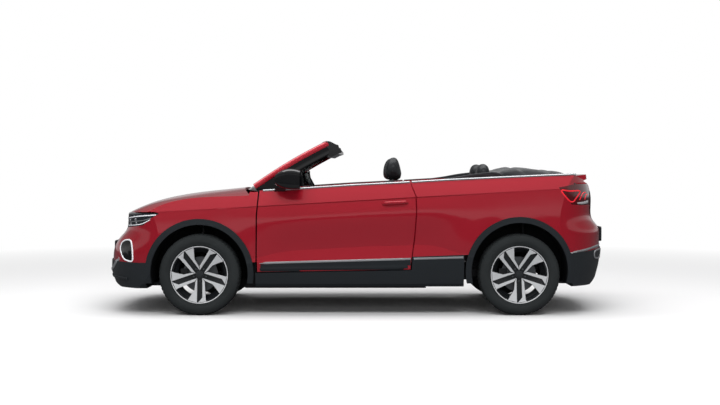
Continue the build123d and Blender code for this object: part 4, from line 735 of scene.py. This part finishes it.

# ---- Windscreen pillars and header ----------------------------------------------------
# Painted covers over both pillars with gloss black linings inside them, and the black
# header that the soft top latches to, across the head of the glass.
foot, head = Vector((-0.862, 0.752, 1.073)), Vector((-0.258, 0.590, 1.438))
pillar_run = (head - foot).normalized()
pillar_up = Vector((-pillar_run.z, 0, pillar_run.x)).normalized()
cover_shape = ((-0.050, 0.000), (-0.030, 0.006), (-0.006, 0.003), (0.007, -0.008), (0.011, -0.026), (0.006, -0.041),
               (-0.020, -0.043), (-0.050, -0.034))
lining_shape = ((0.002, -0.040), (0.004, -0.070), (-0.002, -0.108), (-0.030, -0.118), (-0.058, -0.100),
                (-0.062, -0.045))
for side, word in bodies_with_side.items():
    for name, shape, material, slot in (("pillar_cover", cover_shape, body_paint, "paint_red"),
                                        ("pillar_lining", lining_shape, gloss_black, "gloss_black")):
        rings = []
        for i in range(17):
            share = i / 16
            centre = foot.lerp(head, share) + pillar_up * (0.014 * math.sin(math.pi * share))
            rings.append([Vector((centre.x + pillar_up.x * up, side * (centre.y + out), centre.z + pillar_up.z * up))
                          for out, up in shape])
        trim_piece(f"{name}_{word}", [swept(rings)], material, "body", sharp=50)
header_shape = ((-0.258, 1.438), (-0.240, 1.4385), (-0.222, 1.433), (-0.184, 1.413), (-0.160, 1.405), (-0.154, 1.384),
                (-0.134, 1.362), (-0.133, 1.341), (-0.170, 1.329), (-0.215, 1.306), (-0.262, 1.316), (-0.300, 1.352),
                (-0.306, 1.400))
rings = []
for i in range(25):
    y = -0.598 + i / 24 * 1.196
    crown = 1 - (y / 0.598) ** 2
    rings.append([Vector((x - 0.050 * crown, y, z + 0.004 * crown)) for x, z in header_shape])
trim_piece("header_cap", [swept(rings)], gloss_black, "body", sharp=35)
for side, word in bodies_with_side.items():
    sail = [(-0.842, 1.040), (-0.700, 1.121), (-0.560, 1.190), (-0.460, 1.178), (-0.440, 1.060), (-0.640, 1.046)]
    verts = [Vector((x, side * (0.800 - 0.16 * (z - 1.04)), z)) for x, z in sail]
    verts += [Vector((v.x, v.y - side * 0.012, v.z)) for v in verts]
    count = len(sail)
    faces = [tuple(range(count)), tuple(reversed(range(count, 2 * count)))]
    faces += [(k, k + count, (k + 1) % count + count, (k + 1) % count) for k in range(count)]
    if side < 0:
        faces = [tuple(reversed(f)) for f in faces]
    trim_piece(f"mirror_sail_{word}", [(verts, faces)], gloss_black, f"door_{word}_leaf", sharp=30)

# ---- Seats ----------------------------------------------------------------------------
# Upholstered seats: foam cushions, backs and head restraints in dark grained leather, each
# its own pad, on the CAD seats' space, with chromed posts under the head restraints.
chrome = plain_finish("bright chrome", "#D6D8DB", 0.09, metallic=0.95)
leather, tree, shader = new_finish("dark grained leather")
shader.inputs["Roughness"].default_value = 0.48
place = add_node(tree, "ShaderNodeTexCoord")
pores = add_node(tree, "ShaderNodeTexVoronoi", {"Scale": 420.0}, {"Vector": place.outputs["Object"]})
wear = add_node(tree, "ShaderNodeTexNoise", {"Scale": 9.0, "Detail": 4.0}, {"Vector": place.outputs["Object"]})
tone = add_node(tree, "ShaderNodeValToRGB", links={"Fac": wear.outputs["Fac"]})
tone.color_ramp.elements[0].color = linear("#17191B")
tone.color_ramp.elements[1].color = linear("#2A2D30")
tree.links.new(tone.outputs["Color"], shader.inputs["Base Color"])
bump = add_node(tree, "ShaderNodeBump", {"Strength": 0.22, "Distance": 0.0006}, {"Height": pores.outputs["Distance"]})
tree.links.new(bump.outputs["Normal"], shader.inputs["Normal"])


def inflate(piece, voxel, cap):
    """Swell a pad by a short cloth simulation with inner pressure, and smooth it."""
    scene = bpy.context.scene
    remesh = piece.modifiers.new("voxels", "REMESH")
    remesh.mode = "VOXEL"
    remesh.voxel_size = voxel
    graph = bpy.context.evaluated_depsgraph_get()
    fresh = bpy.data.meshes.new_from_object(piece.evaluated_get(graph))
    piece.modifiers.clear()
    piece.data = fresh
    before = [v.co.copy() for v in fresh.vertices]
    cloth = piece.modifiers.new("swell", "CLOTH")
    cloth.settings.use_pressure = True
    cloth.settings.uniform_pressure_force = 4.0
    cloth.settings.effector_weights.gravity = 0.0
    cloth.settings.quality = 4
    cloth.point_cache.frame_start, cloth.point_cache.frame_end = 1, 20
    for frame in range(1, 21):
        scene.frame_set(frame)
    graph = bpy.context.evaluated_depsgraph_get()
    swollen = bpy.data.meshes.new_from_object(piece.evaluated_get(graph))
    after = [v.co.copy() for v in swollen.vertices]
    piece.modifiers.clear()
    for vertex, old, new in zip(piece.data.vertices, before, after):
        move = new - old
        vertex.co = old + (move if move.length < cap else move.normalized() * cap)
    bpy.data.meshes.remove(swollen)
    scene.frame_set(1)
    soften = piece.modifiers.new("subdivision", "SUBSURF")
    soften.levels = soften.render_levels = 1
    graph = bpy.context.evaluated_depsgraph_get()
    fresh = bpy.data.meshes.new_from_object(piece.evaluated_get(graph))
    piece.modifiers.clear()
    piece.data = fresh
    for polygon in piece.data.polygons:
        polygon.use_smooth = True


def pad(name, profile, centre_y, width, edge, body, material, cap, voxel=0.014, lean=0.0):
    """A cushion with the side profile given, rounded off at both ends."""
    middle = Vector((sum(p[0] for p in profile) / len(profile), sum(p[1] for p in profile) / len(profile)))
    outline = smooth_line(profile, 4, closed=True)
    reach = min((p - middle).length for p in outline)
    rings = []
    for share in (-1, -0.985, -0.95, -0.86, -0.6, -0.3, 0, 0.3, 0.6, 0.86, 0.95, 0.985, 1):
        toward = max(0.0, (abs(share) * width / 2 - (width / 2 - edge)) / edge)
        inset = edge * (1 - math.sqrt(max(0.0, 1 - toward * toward)))
        size = max(0.25, 1 - inset / reach)
        ring = []
        for p in outline:
            spot = middle + (p - middle) * size
            ring.append(Vector((spot.x + lean * abs(share), centre_y + share * width / 2, spot.y)))
        rings.append(ring)
    verts, faces = swept(rings)
    piece = new_piece(name, verts, faces, [material], sharp=180)
    inflate(piece, voxel, cap)
    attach(piece, body)
    return piece


seat_cushion = [(-0.375, 0.430), (-0.385, 0.470), (-0.350, 0.500), (-0.150, 0.478), (0.050, 0.452), (0.110, 0.420),
                (0.060, 0.350), (-0.330, 0.340)]
seat_back = [(0.075, 0.470), (0.140, 0.700), (0.205, 0.920), (0.258, 1.085), (0.300, 1.112), (0.330, 1.085),
             (0.310, 0.930), (0.240, 0.640), (0.195, 0.470), (0.130, 0.420)]
bolster = [(-0.300, 0.440), (-0.330, 0.500), (-0.280, 0.535), (0.000, 0.505), (0.060, 0.470), (0.000, 0.420)]
seat_frame = [(-0.330, 0.300), (-0.340, 0.345), (0.100, 0.345), (0.150, 0.300), (0.090, 0.290), (-0.300, 0.290)]
seat_rail = [(-0.330, 0.205), (-0.330, 0.292), (0.090, 0.292), (0.090, 0.205)]
restraint = [(0.243, 1.135), (0.240, 1.200), (0.256, 1.262), (0.288, 1.298), (0.330, 1.300), (0.352, 1.262),
             (0.366, 1.200), (0.374, 1.140), (0.362, 1.117), (0.300, 1.112), (0.258, 1.117)]
post_radius = 0.0065


def slab(outline, levels):
    """A side outline of (x, z) points carried across the car through the y levels given."""
    return swept([[Vector((x, y, z)) for x, z in outline] for y in levels])


def post(x, y, low, high):
    """One upright tube that carries a head restraint."""
    turns = [2 * math.pi * k / 12 for k in range(12)]
    return swept([[Vector((x + post_radius * math.cos(a), y + post_radius * math.sin(a), z)) for a in turns]
                  for z in (low, high)])


for side, word in bodies_with_side.items():
    y = side * 0.365
    pad(f"seat_cushion_{word}", seat_cushion, y, 0.500, 0.060, "body", leather, 0.012)
    pad(f"seat_backrest_{word}", seat_back, y, 0.480, 0.070, "body", leather, 0.012)
    pad(f"head_restraint_{word}", restraint, y, 0.255, 0.070, "body", leather, 0.006, voxel=0.009)
    for lateral, place in ((-1, "inner"), (1, "outer")):
        pad(f"seat_bolster_{place}_{word}", bolster, y + side * lateral * 0.215, 0.085, 0.040, "body", leather, 0.006)
    base = slab(seat_frame, [y + dy for dy in (-0.235, -0.230, 0.230, 0.235)])
    rails = [slab(seat_rail, [y + off + dy for dy in (-0.014, 0.014)]) for off in (-0.200, 0.200)]
    frame_piece = trim_piece(f"seat_base_{word}", [base] + rails, grained_black, "body")
    tubes = [post(0.300, y + off, 1.085, 1.135) for off in (-0.070, 0.070)]
    trim_piece(f"head_restraint_posts_{word}", tubes, chrome, "body")
    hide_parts(f"front_seat_{word}")
bench_cushion = [(0.585, 0.560), (0.572, 0.590), (0.610, 0.612), (0.780, 0.592), (0.920, 0.572), (0.950, 0.520),
                 (0.800, 0.480), (0.600, 0.490)]
bench_back = [(0.930, 0.590), (0.985, 0.800), (1.045, 1.040), (1.075, 1.090), (1.115, 1.095), (1.140, 1.050),
              (1.120, 0.800), (1.060, 0.600), (0.990, 0.560)]
bench_frame = [(0.580, 0.330), (0.570, 0.500), (0.960, 0.500), (1.100, 0.900), (1.145, 0.900), (1.060, 0.330)]
rear_restraint = [(1.030, 1.130), (1.034, 1.200), (1.060, 1.240), (1.100, 1.247), (1.132, 1.215), (1.142, 1.150),
                  (1.130, 1.118), (1.080, 1.112), (1.042, 1.116)]
for side, word in bodies_with_side.items():
    y = side * 0.275
    pad(f"bench_cushion_{word}", bench_cushion, y, 0.520, 0.060, "body", leather, 0.010)
    pad(f"bench_backrest_{word}", bench_back, y, 0.520, 0.060, "body", leather, 0.010)
    pad(f"rear_head_restraint_{word}", rear_restraint, side * 0.290, 0.245, 0.065, "body", leather, 0.005,
        voxel=0.009)
bench_base = slab(bench_frame, (-0.545, -0.540, 0.540, 0.545))
rear_tubes = [post(1.090, off, 1.070, 1.125) for off in (-0.350, -0.230, 0.230, 0.350)]
bench_shell = trim_piece("bench_base", [bench_base], grained_black, "body")
trim_piece("rear_restraint_posts", rear_tubes, chrome, "body")
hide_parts("rear_bench")

# ---- Folded soft top ------------------------------------------------------------------
# The lined cloth roof, folded down in its tray behind the seats: one padded bundle with the
# folds lying across the car and a flap running forward along each side.
roof_cloth, tree, shader = new_finish("black woven roof cloth")
shader.inputs["Roughness"].default_value = 0.92
shader.inputs["Sheen Weight"].default_value = 0.35
place = add_node(tree, "ShaderNodeTexCoord")
warp = add_node(tree, "ShaderNodeTexWave", {"Scale": 190.0, "Distortion": 0.4}, {"Vector": place.outputs["Object"]},
                wave_type="BANDS", bands_direction="X")
weft = add_node(tree, "ShaderNodeTexWave", {"Scale": 190.0, "Distortion": 0.4}, {"Vector": place.outputs["Object"]},
                wave_type="BANDS", bands_direction="Y")
weave = add_node(tree, "ShaderNodeMath", links={0: warp.outputs["Fac"], 1: weft.outputs["Fac"]}, operation="MULTIPLY")
tone = add_node(tree, "ShaderNodeValToRGB", links={"Fac": weave.outputs[0]})
tone.color_ramp.elements[0].color = linear("#1B1E21")
tone.color_ramp.elements[1].color = linear("#33373B")
tree.links.new(tone.outputs["Color"], shader.inputs["Base Color"])
bump = add_node(tree, "ShaderNodeBump", {"Strength": 0.4, "Distance": 0.0008}, {"Height": weave.outputs[0]})
tree.links.new(bump.outputs["Normal"], shader.inputs["Normal"])
bundle = [(1.185, 1.085), (1.172, 1.150), (1.200, 1.192), (1.260, 1.206), (1.330, 1.214), (1.368, 1.200),
          (1.400, 1.212), (1.500, 1.205), (1.570, 1.192), (1.600, 1.180), (1.640, 1.192), (1.730, 1.176),
          (1.768, 1.145), (1.765, 1.088), (1.600, 1.082), (1.380, 1.082)]
rings = []
outline = smooth_line(bundle, 4, closed=True)
middle = Vector((1.47, 1.11))
for i in range(33):
    share = -1 + 2 * i / 32
    toward = max(0.0, (abs(share) - 0.86) / 0.14)
    size = 1 - 0.55 * (1 - math.sqrt(max(0.0, 1 - toward * toward)))
    ripple = 0.004 * math.sin(7 * share + 1.2)
    ring = []
    for p in outline:
        spot = middle + (p - middle) * size
        top = max(0.0, (spot.y - 1.09) / 0.12)
        ring.append(Vector((spot.x + 0.03 * share * share * (1 - top), share * 0.690,
                            spot.y - 0.022 * share * share * top + ripple * top)))
    rings.append(ring)
verts, faces = swept(rings)
folded = new_piece("folded_roof_cloth", verts, faces, [roof_cloth], sharp=180)
inflate(folded, 0.014, 0.006)
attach(folded, "body")
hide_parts("folded_soft_top")
flap = [(0.620, 1.100), (0.700, 1.124), (0.800, 1.132), (0.930, 1.160), (1.060, 1.176), (1.200, 1.186),
        (1.230, 1.100), (1.000, 1.100)]
for side, word in bodies_with_side.items():
    rings = []
    for out in (0.700, 0.706, 0.722, 0.730):
        rings.append([Vector((x, side * out, z if out in (0.706, 0.722) else z - 0.006)) for x, z in flap])
    piece = trim_piece(f"roof_side_flap_{word}", [swept(rings)], roof_cloth, "body", sharp=50)
    soften = piece.modifiers.new("subdivision", "SUBSURF")
    soften.levels = soften.render_levels = 2

# ---- Headlamps ------------------------------------------------------------------------
# Smoked lamp covers moulded in the nose's own form, each with two light guides, a bright
# divider and four small lens modules standing in its face.
lamp_lines = (
    ("upper_guide", [(-1.940, 0.789), (-1.860, 0.806), (-1.760, 0.818), (-1.650, 0.826)], 0.009, 0.004, light_white),
    ("lower_guide", [(-1.936, 0.731), (-1.860, 0.738), (-1.772, 0.752), (-1.700, 0.786)], 0.007, 0.004, light_white),
    ("divider", [(-1.930, 0.760), (-1.850, 0.768), (-1.760, 0.780), (-1.690, 0.800)], 0.008, 0.003, chrome))
lamp_modules = ((-1.895, 0.776, 0.013), (-1.835, 0.784, 0.013), (-1.885, 0.747, 0.010), (-1.825, 0.755, 0.010))
for side, word in bodies_with_side.items():
    for part, line, width, stand, material in lamp_lines:
        places = [side_point(nose_skin, x, z, side) for x, z in smooth_line(line, 6)]
        trim_piece(f"headlamp_{part}_{word}", [moulding(places, width, stand, 0.003)], material, "body")
    modules = []
    for x, z, radius in lamp_modules:
        centre, facing = side_point(nose_skin, x, z, side)
        across = facing.cross(Vector((0, 0, 1))).normalized()
        upward = across.cross(facing).normalized()
        rings = []
        for size, level in ((1.0, -0.002), (1.0, 0.002), (0.86, 0.0045), (0.55, 0.0062), (0.15, 0.0070)):
            rings.append([centre + facing * level + (across * math.cos(a) + upward * math.sin(a)) * radius * size
                          for a in (2 * math.pi * k / 20 for k in range(20))])
        modules.append(swept(rings))
    trim_piece(f"headlamp_modules_{word}", modules, chrome, "body")

# ---- Tail lamps -----------------------------------------------------------------------
# Dark red lamp glass with lit red outlines, and the pale reversing-light insert at the foot.
tail_skin = skin_of("tail_lamps", "boot_lid", "rear_bumper", "rear_valance", "quarter_panel_left",
                    "quarter_panel_right")
lit_red, tree, shader = new_finish("lit red lamp outline")
shader.inputs["Base Color"].default_value = linear("#E01E2E")
shader.inputs["Emission Color"].default_value = linear("#FF2A38")
shader.inputs["Emission Strength"].default_value = 0.35
shader.inputs["Roughness"].default_value = 0.2
pale_lens = plain_finish("pale lamp lens", "#C9CBCD", 0.18, coat=0.8)
lit_loop = [(1.672, 1.026), (1.742, 1.022), (1.840, 1.020), (1.800, 0.962), (1.776, 0.936), (1.738, 0.944)]
lit_hooks = ([(1.835, 0.948), (1.872, 1.004), (1.905, 1.008)], [(1.890, 0.950), (1.905, 0.985), (1.922, 0.992)])
lens_line = [(1.812, 0.922), (1.870, 0.922), (1.930, 0.930)]
# The lens widens toward the rear.
lens_widths = [0.010, 0.012, 0.014, 0.016, 0.018, 0.019, 0.020, 0.021, 0.022, 0.023, 0.024, 0.024, 0.024]
for side, word in bodies_with_side.items():
    places = [side_point(tail_skin, x, z, side) for x, z in smooth_line(lit_loop, 5, closed=True)]
    outlines = [moulding(places, 0.011, 0.003, 0.004, closed=True)]
    for line in lit_hooks:
        places = [side_point(tail_skin, x, z, side) for x, z in smooth_line(line, 5)]
        outlines.append(moulding(places, 0.008, 0.003, 0.004))
    trim_piece(f"tail_lamp_outline_{word}", outlines, lit_red, "body")
    places = [side_point(tail_skin, x, z, side) for x, z in smooth_line(lens_line, 6)]
    trim_piece(f"reversing_lens_{word}", [moulding(places, lens_widths[:len(places)], 0.003, 0.004)], pale_lens,
               "body")

# ---- Rear bumper trim -----------------------------------------------------------------
# The satin strip over the black rear valance, running round the corners, and the two
# exhaust-look surrounds in it.
strip = across_end(tail_skin, 1, [(0.0, 0.558), (0.25, 0.558), (0.50, 0.556), (0.66, 0.550)])
strip_end = ((1.745, 0.514), (1.800, 0.520), (1.860, 0.528), (1.910, 0.536))
left_end = [side_point(tail_skin, x, z, -1) for x, z in strip_end]
right_end = [side_point(tail_skin, x, z, 1) for x, z in reversed(strip_end)]
trim_piece("rear_strip", [moulding(left_end + strip + right_end, 0.020, 0.004, 0.004)], satin_silver, "body")
for side, word in bodies_with_side.items():
    frame_loop = [(side * 0.420, 0.520), (side * 0.500, 0.524), (side * 0.640, 0.520), (side * 0.668, 0.490),
                  (side * 0.640, 0.458), (side * 0.500, 0.452), (side * 0.420, 0.456), (side * 0.396, 0.488)]
    places = [end_point(tail_skin, y, z, 1) for y, z in smooth_line(frame_loop, 6, closed=True)]
    trim_piece(f"tailpipe_surround_{word}", [moulding(places, 0.014, 0.006, 0.004, closed=True)], satin_silver, "body")

# ---- Blank number plates --------------------------------------------------------------
# A plain white plate on a black carrier at each end, with nothing on it.
plate_white = plain_finish("blank plate enamel", "#ECECEA", 0.35)
corner_radius = 0.010
corners = ((1, 1, 0), (-1, 1, math.pi / 2), (-1, -1, math.pi), (1, -1, 3 * math.pi / 2))
for name, skin, end, z in (("front_plate", nose_skin, -1, 0.520), ("rear_plate", tail_skin, 1, 0.640)):
    base, _ = end_point(skin, 0.0, z, end)
    x = base.x + end * 0.004
    for label, half_width, half_height, depth, material, slot in (
            ("carrier", 0.266, 0.063, 0.006, grained_black, "cladding_black"),
            ("", 0.260, 0.056, 0.009, plate_white, "lamp_clear")):
        rings = []
        for level, inset in ((-0.010, 0.0), (depth - 0.001, 0.0), (depth, 0.0015)):
            ring = []
            reach_y, reach_z = (half - corner_radius - inset for half in (half_width, half_height))
            for corner_y, corner_z, start in corners:
                for k in range(5):
                    turn = math.pi / 2 * (k / 4) + start
                    ring.append(Vector((x + end * level, corner_y * reach_y + corner_radius * math.cos(turn),
                                        z + corner_z * reach_z + corner_radius * math.sin(turn))))
            rings.append(ring)
        trim_piece(f"{name}_{label}".rstrip("_"), [swept(rings)], material, "body")
